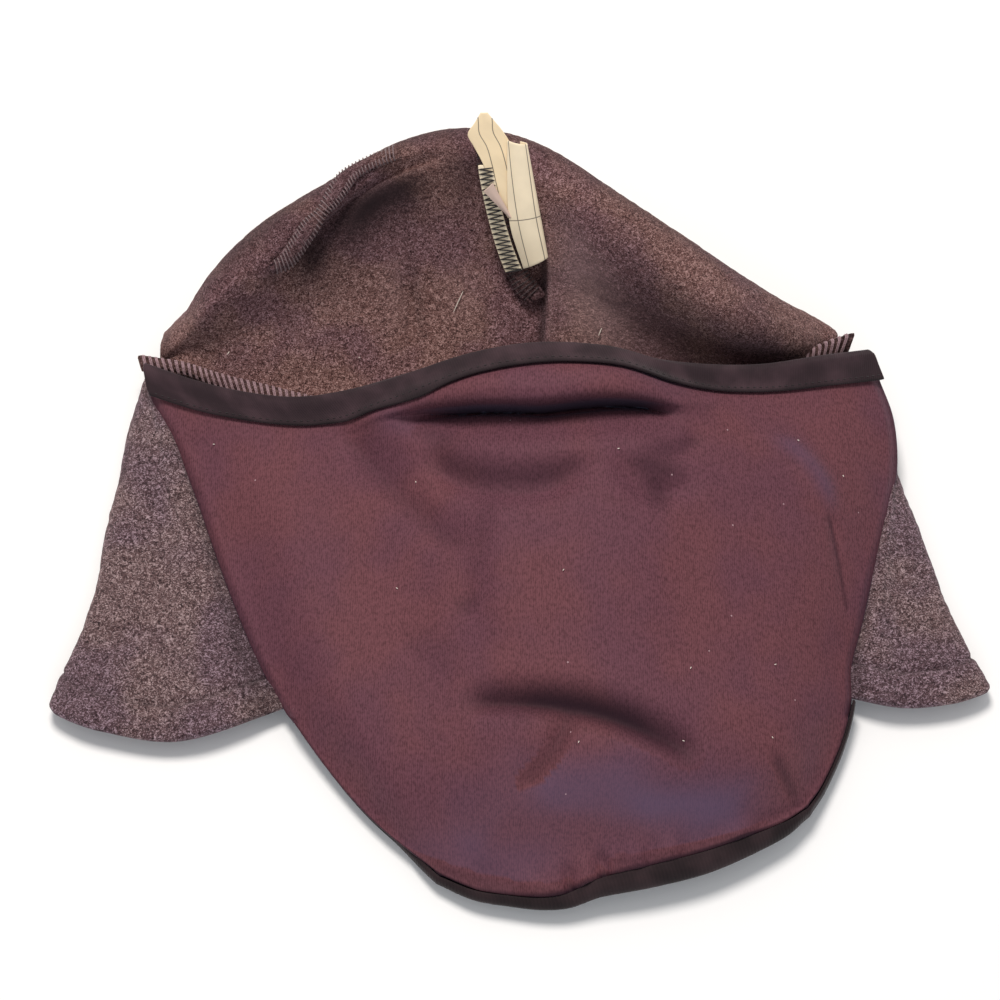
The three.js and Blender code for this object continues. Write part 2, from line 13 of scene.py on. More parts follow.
import bpy
import numpy as np
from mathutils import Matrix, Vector


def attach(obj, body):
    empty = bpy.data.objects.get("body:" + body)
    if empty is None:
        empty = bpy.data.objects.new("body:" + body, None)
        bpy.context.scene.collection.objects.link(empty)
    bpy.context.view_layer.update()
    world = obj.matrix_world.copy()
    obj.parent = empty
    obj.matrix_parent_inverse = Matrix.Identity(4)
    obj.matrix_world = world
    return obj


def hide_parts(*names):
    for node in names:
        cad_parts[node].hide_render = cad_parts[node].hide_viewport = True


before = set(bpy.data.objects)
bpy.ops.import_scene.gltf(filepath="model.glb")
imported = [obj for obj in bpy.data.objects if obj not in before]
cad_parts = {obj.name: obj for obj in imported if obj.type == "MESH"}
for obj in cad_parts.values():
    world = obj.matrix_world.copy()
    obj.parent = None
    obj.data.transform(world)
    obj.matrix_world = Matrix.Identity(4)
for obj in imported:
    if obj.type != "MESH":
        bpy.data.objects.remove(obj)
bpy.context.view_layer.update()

LOG = logging.getLogger("hood")
MM = 0.001

Array = np.ndarray
Rows = Sequence[Sequence[float]]
Surface = Callable[[Array, Array], Array]
Colour = tuple[float, float, float]
Shape = tuple[int, int]
Object = bpy.types.Object
Material = bpy.types.Material
Socket = bpy.types.NodeSocket

# Thicknesses and clearances, as in the part
FLEECE = 2.6
MASK_CLOTH = 1.4
TAPE = 0.9
FACING = 1.0
LABEL = 0.7
CLEAR = 0.35
TAPE_CLEAR = 0.9
SEAM_OVERLAP = 3.0
SEAM_STEP = 1.2
STRIP_THICKNESS = 2.2
STRIP_LIFT = FLEECE / 2 + STRIP_THICKNESS / 2 + 1.2
FACING_REACH = 9.0
FLOOR_LAYER = FLEECE / 2
FOOT_TURN = 6.6
BINDING_DEPTH = 0.055
LINT_RADIUS = 0.16
MASK_COLUMN = 1 / 24

# Mask edges: station, x, y, z
MASK_TOP: Rows = (
    (0, -131, 51, 20), (0.08, -112, 43, 21), (0.16, -94, 37, 23), (0.24, -76, 33.5, 25.5),
    (0.32, -58, 33, 31), (0.4, -36, 33.5, 42), (0.48, -14, 35, 52), (0.56, 7, 35.5, 57),
    (0.64, 30, 35, 55.5), (0.72, 49, 34.5, 48), (0.79, 67, 36.5, 41.5), (0.86, 86, 41, 35),
    (0.93, 106, 47, 31), (1, 124.5, 54.5, 23.5),
)
MASK_LEFT: Rows = (
    (0, -131, 51, 20), (0.05, -129, 43, 17), (0.15, -120, 26, 13), (0.25, -112, 7, 11.5),
    (0.36, -104, -15, 11), (0.46, -96, -36, 11), (0.57, -87, -57, 10.5), (0.68, -76.5, -76, 9),
    (0.79, -60.5, -98.5, 6.5), (0.88, -46, -115, 6), (1, -25, -133, 7),
)
MASK_BOTTOM: Rows = (
    (0, -25, -133, 7), (0.1, -14, -138, 8), (0.2, -3, -140, 8.5), (0.3, 7, -141, 9),
    (0.38, 15, -140, 10), (0.46, 25, -136, 12.5), (0.58, 42, -132, 14), (0.76, 63, -126, 14),
    (0.9, 84, -117, 12), (1, 93, -111, 10),
)
MASK_RIGHT: Rows = (
    (0, 124.5, 54.5, 23.5), (0.05, 127.5, 47, 20.5), (0.13, 131.5, 33, 18), (0.21, 132, 17, 15),
    (0.3, 129, 2, 13), (0.4, 122, -21, 12), (0.5, 116, -43, 11.5), (0.58, 111, -60, 11),
    (0.66, 110, -73, 10), (0.76, 105.5, -88, 8), (0.87, 98.5, -102.5, 8), (1, 93, -111, 10),
)

# Lip under the binding: share down the mask, shift towards the crown, rise
LIP: Rows = (
    (0, 0, 0), (0.03, -0.8, 5.2), (0.055, -2.4, 8.4), (0.075, -3.6, 9.2), (0.09, -3.4, 9),
    (0.102, -1, 6.5), (0.115, 0, 3.5), (0.14, 0, 0.5), (0.17, 0, 0),
)
# Crease that the lip overhangs: share down the mask, shift towards the crown, rise
CREASE: Rows = (
    (0.055, 0, 0), (0.075, 0, -0.5), (0.09, 0, -3.6), (0.102, 2.4, -8.9), (0.115, 5, -11.5),
    (0.128, 4.9, -8.6), (0.14, 5, -4.6), (0.16, 4.2, -3), (0.2, 2.4, -1.4), (0.26, 0, 0),
)
# Line of the crease: station along the mask's top, how far down the mask lip and crease are moved
CREASE_LINE: Rows = (
    (0.3, -0.028), (0.39, -0.025), (0.44, -0.005), (0.49, 0.016), (0.54, 0.029), (0.63, 0.014),
    (0.72, 0.008), (0.8, 0.008),
)

# Crown sections: station, seam x, how far it stands back from the nape line, its z,
# centre of the ridge roll x, y, z, its radius, how far the foot stands behind it, tucked hem's x and y
CROWN: Rows = (
    (0, -126, 4, 9, -127, 65, 9.5, 3.2, 8.5, -127, 63),
    (0.06, -117, 4, 8.5, -118.5, 69, 17, 5, 14, -121, 61),
    (0.14, -98, 2.5, 5.5, -108.5, 74, 29.5, 8.5, 17, -110, 57),
    (0.22, -80, 1.5, 3, -91, 86.5, 38, 10.5, 22, -94, 56),
    (0.32, -55, 0.5, 1.6, -66, 100, 45, 11, 27, -70, 55),
    (0.42, -28, 0, 1.3, -40, 114, 50.5, 11, 30, -42, 54),
    (0.51, -4, 0, 1.3, -15, 116.5, 54, 11, 32, -16, 54),
    (0.59, 20, 0, 1.3, 10, 109, 52.5, 11, 31, 12, 54), (0.68, 46, 0, 1.3, 38, 91, 47, 11, 28, 40, 55),
    (0.78, 74, 0.5, 1.8, 68, 72, 39, 11, 23, 70, 57), (0.87, 93, 1.5, 4, 92, 66, 26, 8, 13, 93, 62),
    (0.94, 105, 4.5, 9, 105, 68, 17, 5, 8, 106, 64), (1, 113, 8, 12.5, 113, 67.5, 13, 3, 6.5, 113, 65),
)
CROWN_TURN = np.array([0, 0.10, 0.20, 0.30, 0.36, 0.41, 0.46, 0.55, 0.63, 0.69, 0.74, 0.82, 0.91, 1])
RIDGE = 0.46
# Station up the crown past which no shade or light is painted
PAINTED_LIGHT_END = 0.62

# Neck sections, from the nape line to the hem: station, left fold x, y, right fold x, y,
# height of the cheeks, y of the nape layer's middle, how far the cheeks dip towards the hem
NECK: Rows = (
    (0, -133, 53, 125, 53, 11, 29, 0), (0.18, -136, 36, 130, 34, 9.5, 14, 0),
    (0.38, -139, 9, 134, 10, 8.5, -6, 0), (0.58, -142, -15, 140, -14, 8.5, -26, 0),
    (0.78, -145, -40, 146, -38, 8, -46, -2), (0.92, -151, -60, 152, -57, 8, -60, -9),
    (1, -154, -71, 156, -65, 7.6, -67, -15),
)
NECK_TURN = np.array([
    0, 0.08, 0.14, 0.18, 0.215, 0.25, 0.32, 0.41, 0.50, 0.59, 0.68, 0.75, 0.785, 0.82, 0.86, 0.92, 1,
])
HEM_ON_MASK = {"left": 0.66, "right": 0.635}

# Bib facing: station along the free edge, reach past the mask's edge, depth below it
BIB_EDGE: Rows = (
    (0, 0.3, 3.2), (0.12, 0.3, 3.2), (0.26, 0.6, 3.2), (0.36, 1.4, 4.2), (0.46, 2, 5.2),
    (0.56, 4.2, 8.6), (0.66, 4.6, 9.2), (0.74, 2.8, 7.4), (0.8, 0.6, 5.2), (0.88, 0.3, 4.2),
    (1, 0.3, 4),
)

# Overlocked seam allowance along the nape line: station, root x, y, z, free edge x, y, z
NAPE_SEAM: Rows = (
    (0, -133, 55.5, 13.6, -134.2, 59, 15.6), (0.032, -125, 55, 13.2, -126.5, 58.2, 14.7),
    (0.064, -116.9, 54, 12.2, -117.8, 56.9, 13.8), (0.124, -101.8, 47.8, 9.7, -104.4, 53.2, 12),
    (0.183, -87, 43.5, 7.6, -89.2, 50, 10.1), (0.25, -70.6, 39.7, 6.2, -72, 46.2, 8.3),
    (0.38, -38, 34.5, 5.6, -39, 41, 7.4), (0.5, -7.5, 33, 5.6, -8, 39.5, 7.4),
    (0.64, 27.5, 34.6, 5.6, 27, 41, 7.8), (0.78, 62.9, 41.4, 6.8, 61.9, 47, 10.2),
    (0.87, 85.5, 49, 10.3, 85, 52.4, 15.8), (0.904, 94, 50.8, 14.5, 94, 53.5, 21),
    (0.92, 98, 52.5, 15.5, 98, 55, 21.5), (0.946, 104.5, 54.5, 17, 104.5, 57.5, 22.6),
    (0.972, 111, 56.5, 18, 111.5, 60, 24), (1, 116.5, 58, 19, 118.5, 62, 25.5),
)

# Dart allowances pressed flat on the crown's inside: station, root u, v, free edge u, v
LEFT_DART: Rows = (
    (0, 0.408, 0.445, 0.416, 0.405), (0.25, 0.36, 0.44, 0.371, 0.402), (0.5, 0.326, 0.408, 0.342, 0.37),
    (0.75, 0.286, 0.35, 0.303, 0.31), (0.9, 0.254, 0.312, 0.266, 0.282), (1, 0.236, 0.304, 0.24, 0.286),
)
CENTRE_DART: Rows = (
    (0, 0.532, 0.4, 0.515, 0.4), (0.3, 0.537, 0.31, 0.521, 0.304), (0.6, 0.546, 0.25, 0.528, 0.246),
    (0.82, 0.557, 0.212, 0.538, 0.206), (0.94, 0.568, 0.195, 0.548, 0.184),
    (1, 0.574, 0.186, 0.56, 0.176),
)

# Label leaves over the centre dart: station from the bottom, left edge x, y, z, right edge x, y, z
LABEL_FRONT: Rows = (
    (0, 2.4, 82.4, 37.5, 10.8, 84.1, 41.9), (0.39, -2.6, 92.5, 52.2, 7.9, 93.5, 54.6),
    (1, -3.4, 109.9, 74.5, 3.3, 109, 73.7),
)
LABEL_BACK: Rows = (
    (0, -3.2, 94.1, 51.8, -1.1, 94.7, 52.7), (0.2, -8.8, 100.9, 60.7, -1.1, 100.8, 60.9),
    (0.42, -11.9, 106, 67.2, -1.7, 105.8, 67.4), (0.6, -15, 109.8, 71.8, -2.2, 109.6, 72.1),
    (0.72, -17, 112.3, 75, -5, 112.6, 76), (0.88, -14.6, 114.7, 78.4, -8.1, 114.9, 79.1),
    (1, -12.6, 116.7, 81.2, -10.4, 116.7, 81.2),
)

# Corner of the label that is turned over its left edge: the same columns
TURNED_CORNER: Rows = (
    (0, -2.6, 92.9, 53.2, -2.1, 93.1, 53.5), (1, -11.6, 99, 60.2, -8.6, 100.5, 62.6),
)

# Direction that the label faces
LABEL_FACING = np.array([-0.03, -0.80, 0.59])

# Painted shade and light on the crown's inside: u, v, half widths along u and v, how much, negative for
# painted shade
CROWN_PAINTED_SHADE_AND_LIGHT: Rows = (
    (0.29, 0.268, 0.03, 0.036, -0.75), (0.34, 0.285, 0.034, 0.04, -0.6),
    (0.38, 0.3, 0.036, 0.04, -0.75), (0.428, 0.297, 0.034, 0.038, -0.75),
    (0.495, 0.32, 0.034, 0.065, -0.65), (0.21, 0.42, 0.12, 0.08, -0.6), (0.01, 0.3, 0.02, 0.3, -0.4),
    (0.43, 0.45, 0.14, 0.055, -0.5), (0.7, 0.44, 0.2, 0.05, -0.4), (0.68, 0.33, 0.08, 0.06, -0.3),
    (0.85, 0.28, 0.06, 0.1, -0.45), (0.415, 0.18, 0.01, 0.05, -0.3), (0.39, 0.2, 0.022, 0.05, 0.1),
    (0.48, 0.19, 0.03, 0.055, 0.1), (0.64, 0.21, 0.045, 0.08, 0.5), (0.77, 0.19, 0.08, 0.09, 0.2),
)

# Rounded folds of the crown's inside, in the same columns, with a height in millimetres
CROWN_LUMPS: Rows = (
    (0.27, 0.37, 0.05, 0.05, 2.2), (0.555, 0.215, 0.018, 0.03, -3.5),
    (0.407, 0.165, 0.012, 0.045, -2.2), (0.4, 0.24, 0.05, 0.05, 2),
)
# Line of the crown's pleat: v, u
PLEAT_LINE: Rows = ((0.12, 0.568), (0.17, 0.577), (0.24, 0.585))
# Line of the hollow beside the left dart: u, v
HOLLOW_LINE: Rows = (
    (0.22, 0.255), (0.262, 0.262), (0.303, 0.285), (0.351, 0.325), (0.40, 0.347), (0.44, 0.351),
)

# Lint on the crown's inside: u, v, then the way it lies, x, y, z
CROWN_LINT: Rows = (
    (0.141, 0.165, 0.9, 1.2, 0.4), (0.214, 0.04, 1.4, 0.6, 0.2), (0.47, 0.17, -3.6, -6.4, -4.4),
    (0.64, 0.16, 1.2, 2.6, 1.4), (0.33, 0.12, 0.7, -0.4, 0),
)

# Sections of the leaves: station, share of the width, rise; the front leaf is rolled under at the right
ROLLED_LEAF: Rows = (
    (0, 0, 0), (0.25, 0.35, 1.5), (0.5, 0.72, 1.7), (0.7, 0.98, 0.4), (0.82, 0.96, -1.2), (1, 0.66, -2),
)
FLAT_LEAF: Rows = (
    (0, 0, 0), (0.5, 0.5, 0.3), (1, 1, 0),
)


def through(stations: Array, values: Array, at: Array) -> Array:
    """Cubic curves through values at stations, with slopes from the neighbouring stations.

    Args:
        stations: the K stations, rising.
        values: K by N by M values, where N is 1 if every point shares one curve.
        at: the N stations wanted.

    Returns:
        N by M values.
    """
    slopes = np.empty_like(values)
    slopes[1:-1] = (values[2:] - values[:-2]) / (stations[2:] - stations[:-2])[:, None, None]
    slopes[0] = (values[1] - values[0]) / (stations[1] - stations[0])
    slopes[-1] = (values[-1] - values[-2]) / (stations[-1] - stations[-2])
    here = np.clip(at, stations[0], stations[-1])
    low = np.clip(np.searchsorted(stations, here, side="right") - 1, 0, len(stations) - 2)
    span = (stations[low + 1] - stations[low])[:, None]
    t = (here - stations[low])[:, None] / span
    own = np.arange(len(here)) if values.shape[1] > 1 else np.zeros(len(here), int)
    return (
        (2 * t**3 - 3 * t**2 + 1) * values[low, own]
        + (t**3 - 2 * t**2 + t) * span * slopes[low, own]
        + (3 * t**2 - 2 * t**3) * values[low + 1, own]
        + (t**3 - t**2) * span * slopes[low + 1, own]
    )


def between(rows: Rows, at: Array) -> Array:
    """Values of a table, whose first column is the station, at the stations wanted, N by M."""
    table = np.asarray(rows, float)
    return through(table[:, 0], table[:, None, 1:], np.atleast_1d(np.asarray(at, float)))


def line_at(rows: Rows, x: Array) -> Array:
    """Straight lines between a table's points."""
    stations, values = np.array(rows).T
    return np.interp(x, stations, values)


def run_along(line: Array, weights: Array | float = 1) -> Array:
    """Length along a line of points up to each of them, each step times its weight."""
    lengths = np.linalg.norm(np.diff(line, axis=0), axis=1) * weights
    return np.concatenate([[0], np.cumsum(lengths)])


def smooth(low: float, high: float, x: Array) -> Array:
    """An S-shaped step from 0 at low to 1 at high."""
    t = np.clip((x - low) / (high - low), 0, 1)
    return t * t * (3 - 2 * t)


def window(x: Array, rise: float, full: float, fall: float, gone: float) -> Array:
    """1 between full and fall, 0 before rise and after gone."""
    return smooth(rise, full, x) * (1 - smooth(fall, gone, x))


def mix(a: Array, b: Array, t: Array) -> Array:
    """The value at share t of the way from a to b."""
    return a + (b - a) * t


def hump(x: Array, width: float) -> Array:
    """A round hump of height 1 at x = 0 and of the given half width."""
    return np.exp(-((x / width) ** 2))


def patches(rows: Rows, u: Array, v: Array) -> Array:
    """Sum of a table's round patches: u, v, half widths along u and v, height."""
    return sum(row[4] * hump(u - row[0], row[2]) * hump(v - row[1], row[3]) for row in rows)


def unit(vectors: Array) -> Array:
    """The vectors at length 1."""
    return vectors / np.maximum(np.linalg.norm(vectors, axis=-1, keepdims=True), 1e-12)


def section(rows: Sequence[Sequence[Array | float]]) -> Array:
    """Stacks a section's points, each of three coordinates, to K by N by 3."""
    return np.array([np.stack(np.broadcast_arrays(*row, rows[0][0])[:3], axis=-1) for row in rows], float)


@dataclass(frozen=True)
class Fold:
    """A fold along an arc, seen from above.

    Attributes:
        path: start x, y and end x, y.
        sag: how far the arc's middle lies to the left of the line from start to end.
        width: half width.
        rise: height, negative for a hollow.
    """

    path: tuple[float, float, float, float]
    sag: float
    width: float
    rise: float

    def at(self, x: Array, y: Array) -> Array:
        """Rise of the cloth at x, y."""
        x0, y0, x1, y1 = self.path
        length = math.hypot(x1 - x0, y1 - y0)
        along = ((x - x0) * (x1 - x0) + (y - y0) * (y1 - y0)) / length**2
        arc = np.clip(along, 0, 1)
        across = ((y - y0) * (x1 - x0) - (x - x0) * (y1 - y0)) / length - self.sag * 4 * arc * (1 - arc)
        fade = min(1.5 * self.width / length, 0.45)
        ends = smooth(-fade, fade, along) * smooth(-fade, fade, 1 - along)
        return self.rise * ends * np.exp(-((across / self.width) ** 2))


# The mask's main folds, which are also in the part
MASK_FOLDS = (
    Fold((-70, -30, 95, -30), 0, 62, 7), Fold((-40, -98, 92, -92), -6, 22, 7),
    Fold((-52, 22, 46, 0), -12, 6, 2.2), Fold((-29, 3, 22, -10), -9, 6, -4.5),
    Fold((34, -9, 56, -12), -4, 6, -4.5), Fold((60, 9, 47, -4), 2, 3.5, -2),
    Fold((-57, 21, -18, -31), -2, 6, -3), Fold((-15, -40, -16, -54), 0, 5, -2),
    Fold((-6, -14, -6, -60), 0, 6, 1.6), Fold((-13, -83, 54, -100), 3, 5, -5.5),
    Fold((16, -92, 0, -110), 2, 4, -3), Fold((86, 13, 106, -9), 4, 5, 2.4),
    Fold((106, -12, 109, -42), 1, 2.2, -2.2),
)

# Painted shade where the mask's cloth lies in shade inside its folds: path, sag, half width, depth of
# painted shade
MASK_SHADES: tuple[Fold, ...] = (
    Fold((-15, -82, 55, -102), 5, 4.4, 0.62), Fold((-2, -85, 44, -95), 3, 6.5, 0.34),
    Fold((16, -93, 1, -110), 2, 3, 0.3), Fold((-28, 6, 20, -7), -7, 4.5, 0.46),
    Fold((-57, 20, -19, -30), -2, 4, 0.22), Fold((-8, -15, -15, -42), 0, 4, 0.12),
    Fold((-16, -47, -17, -54), 0, 4, 0.3), Fold((37, -5, 54, -7), 0, 3.5, 0.4),
    Fold((45, -8, 46, -20), 0, 4, 0.4), Fold((61, 8, 43, -1), 1, 3, 0.25),
    Fold((68, 24, 57, 17), 0, 3, 0.15), Fold((81, -99, 89, -109), 0, 2.2, 0.45),
    Fold((105, -12, 110, -42), 0.5, 0.8, 0.5), Fold((16, -137, 17, -142), 0, 1.2, 0.5),
    Fold((26, -134, 28, -139), 0, 1.5, 0.5), Fold((-40, -124, 24, -140), -5, 2.2, 0.3),
    Fold((30, -132, 80, -119), -2, 2, 0.3), Fold((-38, -56, -20, -74), 2, 6, 0.12),
    Fold((-34, 14, -20, 8), 0, 3, 0.2),
)
# Where a blue sheen is painted on it: the same columns
MASK_SHEENS: tuple[Fold, ...] = (
    Fold((88, 12, 106, -7), 3, 3.5, 0.5), Fold((-50, 24, -28, 14), -2, 3.5, 0.35),
    Fold((-10, 31, 30, 31), 2, 3, 0.4), Fold((-2, -109, 38, -108), -3, 8, 0.6),
    Fold((34, -116, 80, -110), -3, 6, 0.7), Fold((-34, -123, 12, -131), -3, 7, 0.75),
    Fold((-20, -118, 70, -118), -6, 13, 0.4),
)
# Pinches and swellings along the bib's end: the same columns
MASK_PINCHES: tuple[Fold, ...] = (
    Fold((15, -132, 17, -143), 0, 1.8, -1.8), Fold((26, -129, 28, -140), 0, 2.2, -2),
    Fold((20, -128, 22, -142), 0, 2.4, 1.4), Fold((4, -130, 5, -143), 0, 4, 1),
    Fold((-10, -128, -13, -140), 0, 3, -0.8), Fold((37, -123, 39, -136), 0, 3, 1),
    Fold((50, -119, 54, -131), 0, 3, -0.8), Fold((66, -115, 70, -126), 0, 3, 0.7),
)
# Lint on the mask: share across, share down
MASK_LINT: Rows = (
    (0.068, 0.133), (0.302, 0.407), (0.359, 0.214), (0.536, 0.431), (0.609, 0.23), (0.859, 0.173),
    (0.915, 0.246), (0.73, 0.585), (0.859, 0.585), (0.706, 0.73), (0.851, 0.746), (0.52, 0.738),
)


def added(folds: Sequence[Fold], x: Array, y: Array) -> Array:
    """Sum of the folds at x, y."""
    return sum(fold.at(x, y) for fold in folds)


def edge_of_mask(u: Array, v: Array) -> Array:
    """The mask's smooth patch between its four edges, without swell or folds."""
    top, bottom = between(MASK_TOP, u), between(MASK_BOTTOM, u)
    left, right = between(MASK_LEFT, v), between(MASK_RIGHT, v)
    corners = [between(rows, s) for rows in (MASK_TOP, MASK_BOTTOM) for s in (0, 1)]
    across, down = u[:, None], v[:, None]
    return (
        top * (1 - down) + bottom * down + left * (1 - across) + right * across
        - corners[0] * (1 - across) * (1 - down) - corners[1] * across * (1 - down)
        - corners[2] * (1 - across) * down - corners[3] * across * down
    )


def below_line(u: Array, v: Array) -> Array:
    """Share down the mask, less how far down its lip and crease are moved."""
    return v - smooth(0.03, 0.09, v) * between(CREASE_LINE, u)[:, 0]


def mask_at(u: Array, v: Array) -> Array:
    """Middle of the mask's cloth, from the binding's top edge (v 0) to the bib's end (v 1)."""
    point = edge_of_mask(u, v)
    sides = smooth(0, 0.15, u) * smooth(0, 0.15, 1 - u)
    swell = 7 * sides * smooth(0, 0.3, v) * smooth(0, 0.25, 1 - v)
    rise = added(MASK_FOLDS, point[:, 0], point[:, 1])
    lipped = smooth(0.26, 0.46, u) * smooth(0.20, 0.38, 1 - u)
    creased = smooth(0.35, 0.45, u) * smooth(0.27, 0.37, 1 - u)
    moved = below_line(u, v)
    lip_shift, lip_rise = between(LIP, moved).T
    crease_shift, crease_rise = between(CREASE, moved).T
    folds = sides * smooth(0.03, 0.075, v) * smooth(0, 0.22, 1 - v) * rise
    point[:, 1] += lipped * lip_shift + creased * crease_shift
    point[:, 2] += swell + folds + lipped * lip_rise + creased * crease_rise
    return point


def binding_at(u: Array, v: Array) -> Array:
    """Middle of the tape that is folded over the mask's top edge, v running round the fold."""
    face = MASK_CLOTH / 2 + TAPE_CLEAR + TAPE / 2
    profile = (
        (0.00, face, BINDING_DEPTH, 0),
        (0.20, face, BINDING_DEPTH / 2, 0),
        (0.38, face, 0, 0),
        (0.50, 0, 0, -face),
        (0.62, -face, 0, 0),
        (0.80, -face, BINDING_DEPTH / 2, 0),
        (1.00, -face, BINDING_DEPTH, 0),
    )
    offset, depth, beyond = between(profile, v).T
    down = np.maximum(depth, 0)
    row = BINDING_DEPTH / 2
    along = mask_at(np.minimum(u + MASK_COLUMN, 1), down) - mask_at(np.maximum(u - MASK_COLUMN, 0), down)
    slope = unit(mask_at(u, down + row) - mask_at(u, np.maximum(down - row, 0)))
    normal = unit(np.cross(slope, along))
    return mask_at(u, down) + normal * offset[:, None] + slope * beyond[:, None]


def bib_edge(s: Array) -> Array:
    """The mask's free edge, from the left hem corner round the bib to the right one."""
    left = between(MASK_LEFT, mix(0.70, 1, s / 0.30))
    bottom = between(MASK_BOTTOM, (s - 0.30) / 0.50)
    right = between(MASK_RIGHT, mix(1, 0.66, (s - 0.80) / 0.20))
    s = s[:, None]
    return np.where(s < 0.30, left, np.where(s < 0.80, bottom, right))


def bib_outward(s: Array) -> Array:
    """Level direction out of the bib, square to its free edge."""
    step = 0.03
    along = bib_edge(np.minimum(s + step, 1)) - bib_edge(np.maximum(s - step, 0))
    along[:, 2] = 0
    along = unit(along)
    return np.stack([along[:, 1], -along[:, 0], np.zeros(len(s))], axis=-1)


def facing_at(s: Array, v: Array) -> Array:
    """Middle of the facing, rolled out past the mask's free edge (v 0) and back under it (v 1)."""
    reach, depth = between(BIB_EDGE, s).T
    start = 2 * CLEAR + FACING / 2
    turn = np.array([0, 0.16, 0.34, 0.50, 0.64, 1])
    profile = np.array([
        np.stack(np.broadcast_arrays(out, drop * depth + near, depth)[:2], axis=-1)
        for out, drop, near in (
            (start, 0, 0.1),
            (start + reach * 0.7, -0.14, 0),
            (start + reach, -0.5, 0),
            (start + reach * 0.5, -0.86, 0),
            (-1.5, -1, 0),
            (-FACING_REACH, -1, 0),
        )
    ])
    out, rise = through(turn, profile, v).T
    point = bib_edge(s) + bib_outward(s) * out[:, None]
    point[:, 2] = np.maximum(point[:, 2] + rise, FACING / 2 + 0.3)
    return point


def nape_y(x: Array) -> Array:
    """Seam line between neck and crown, on the surface: y at a given x."""
    middle_x, half_width, middle_y, end_y, power = -4, 129, 29.5, 53.5, 1.7
    return middle_y + (end_y - middle_y) * np.minimum(np.abs(x - middle_x) / half_width, 1.05) ** power


def crown_at(u: Array, v: Array) -> Array:
    """Middle of the crown's fleece: up its inside from the nape seam, over the ridge, down and under."""
    seam_x, back, seam_z, ridge_x, ridge_y, ridge_z, radius, foot, hem_x, hem_y = between(CROWN, u).T
    seam_y = nape_y(seam_x) + SEAM_STEP + back
    foot_y = ridge_y + radius * 0.6 + foot
    turn_y = foot_y - np.maximum(foot * 0.2, 4.4)

    def up(y: float, z: float) -> tuple[Array, Array, Array]:
        """A point between seam and ridge, at shares y and z of the way."""
        return mix(seam_x, ridge_x, y), mix(seam_y, ridge_y, y + 0.03), mix(seam_z, ridge_z, z)

    point = through(CROWN_TURN, section((
        (seam_x, seam_y, seam_z),
        up(0.30, 0.17),
        up(0.62, 0.53),
        (ridge_x, ridge_y - radius * 0.80, ridge_z + radius * 0.45),
        (ridge_x, ridge_y - radius * 0.35, ridge_z + radius * 0.85),
        (ridge_x, ridge_y + radius * 0.15, ridge_z + radius),
        (ridge_x, ridge_y + radius * 0.80, ridge_z + radius * 0.60),
        (ridge_x, mix(ridge_y, foot_y, 0.66), mix(ridge_z, FOOT_TURN, 0.39)),
        (ridge_x, foot_y - 0.6, np.maximum(ridge_z * 0.30, FOOT_TURN)),
        (ridge_x, foot_y, mix(FLOOR_LAYER, FOOT_TURN, 0.55)),
        (ridge_x, turn_y, FLOOR_LAYER),
        (mix(ridge_x, hem_x, 0.5), mix(turn_y, hem_y, 0.33), FLOOR_LAYER),
        (hem_x, mix(turn_y, hem_y, 0.66), FLOOR_LAYER),
        (hem_x, hem_y, FLOOR_LAYER),
    )), v)
    point[:, 2] = np.maximum(point[:, 2], FLOOR_LAYER)
    return point


def neck_at(u: Array, v: Array) -> Array:
    """Middle of the neck's fleece: a flattened tube, open along the mask, from nape (v 0) to hem (v 1)."""
    left_x, left_y, right_x, right_y, height, back_y, dip = between(NECK, v).T
    half = height / 2

    def edge(rows: Rows, station: float, inward: float) -> tuple[Array, Array, Array]:
        """The cheek's edge under the mask, inward 1 to the right and -1 to the left."""
        x, y, z = between(rows, station * v).T
        under_binding = 1.5 * (1 - smooth(0.06, 0.14, v))
        drop = MASK_CLOTH / 2 + CLEAR + FLEECE / 2 + 0.15 + under_binding
        return x + inward * SEAM_OVERLAP, y, z - drop

    left = edge(MASK_LEFT, HEM_ON_MASK["left"], 1)
    right = edge(MASK_RIGHT, HEM_ON_MASK["right"], -1)

    def cheek(start: Sequence[Array], x: Array, y: Array, *shares: float) -> list[Array]:
        """A point of a cheek, by its shares of the way to the fold, of the full height and of the dip."""
        t, flat, drop = shares
        return [mix(start[0], x, t), mix(start[1], y, t) + dip * drop, mix(start[2], height, flat)]

    def on_floor(x: Array) -> tuple[Array, Array, float]:
        """A point of the nape layer, on the floor."""
        side_y = mix(left_y, right_y, (x - left_x) / (right_x - left_x))
        share = np.abs((2 * x - left_x - right_x) / (right_x - left_x))
        return x, mix(back_y, side_y, share**1.7), FLOOR_LAYER

    point = through(NECK_TURN, section((
        left,
        cheek(left, left_x, left_y, 0.45, 0.5, 0.9),
        cheek(left, left_x, left_y, 0.80, 1, 0.7),
        (left_x + half * 0.28, left_y + dip * 0.3, height * 0.88),
        (left_x, left_y, half + 0.6),
        (left_x + half * 0.3, left_y, 1.9),
        on_floor(left_x + 14),
        on_floor(mix(left_x, right_x, 0.27)),
        on_floor(mix(left_x, right_x, 0.5)),
        on_floor(mix(left_x, right_x, 0.73)),
        on_floor(right_x - 14),
        (right_x - half * 0.3, right_y, 1.9),
        (right_x, right_y, half + 0.6),
        (right_x - half * 0.28, right_y + dip * 0.2, height * 0.88),
        cheek(right, right_x, right_y, 0.75, 1, 0.4),
        cheek(right, right_x, right_y, 0.40, 0.5, 0.4),
        right,
    )), u)
    point[:, 2] = np.maximum(point[:, 2], FLOOR_LAYER)
    return point


def normal_at(surface: Surface, u: Array, v: Array, step: float = 0.004) -> Array:
    """Unit normal of a surface, on the side that u and v turn round the right way."""
    along_u = surface(np.minimum(u + step, 1), v) - surface(np.maximum(u - step, 0), v)
    along_v = surface(u, np.minimum(v + step, 1)) - surface(u, np.maximum(v - step, 0))
    return unit(np.cross(along_u, along_v))


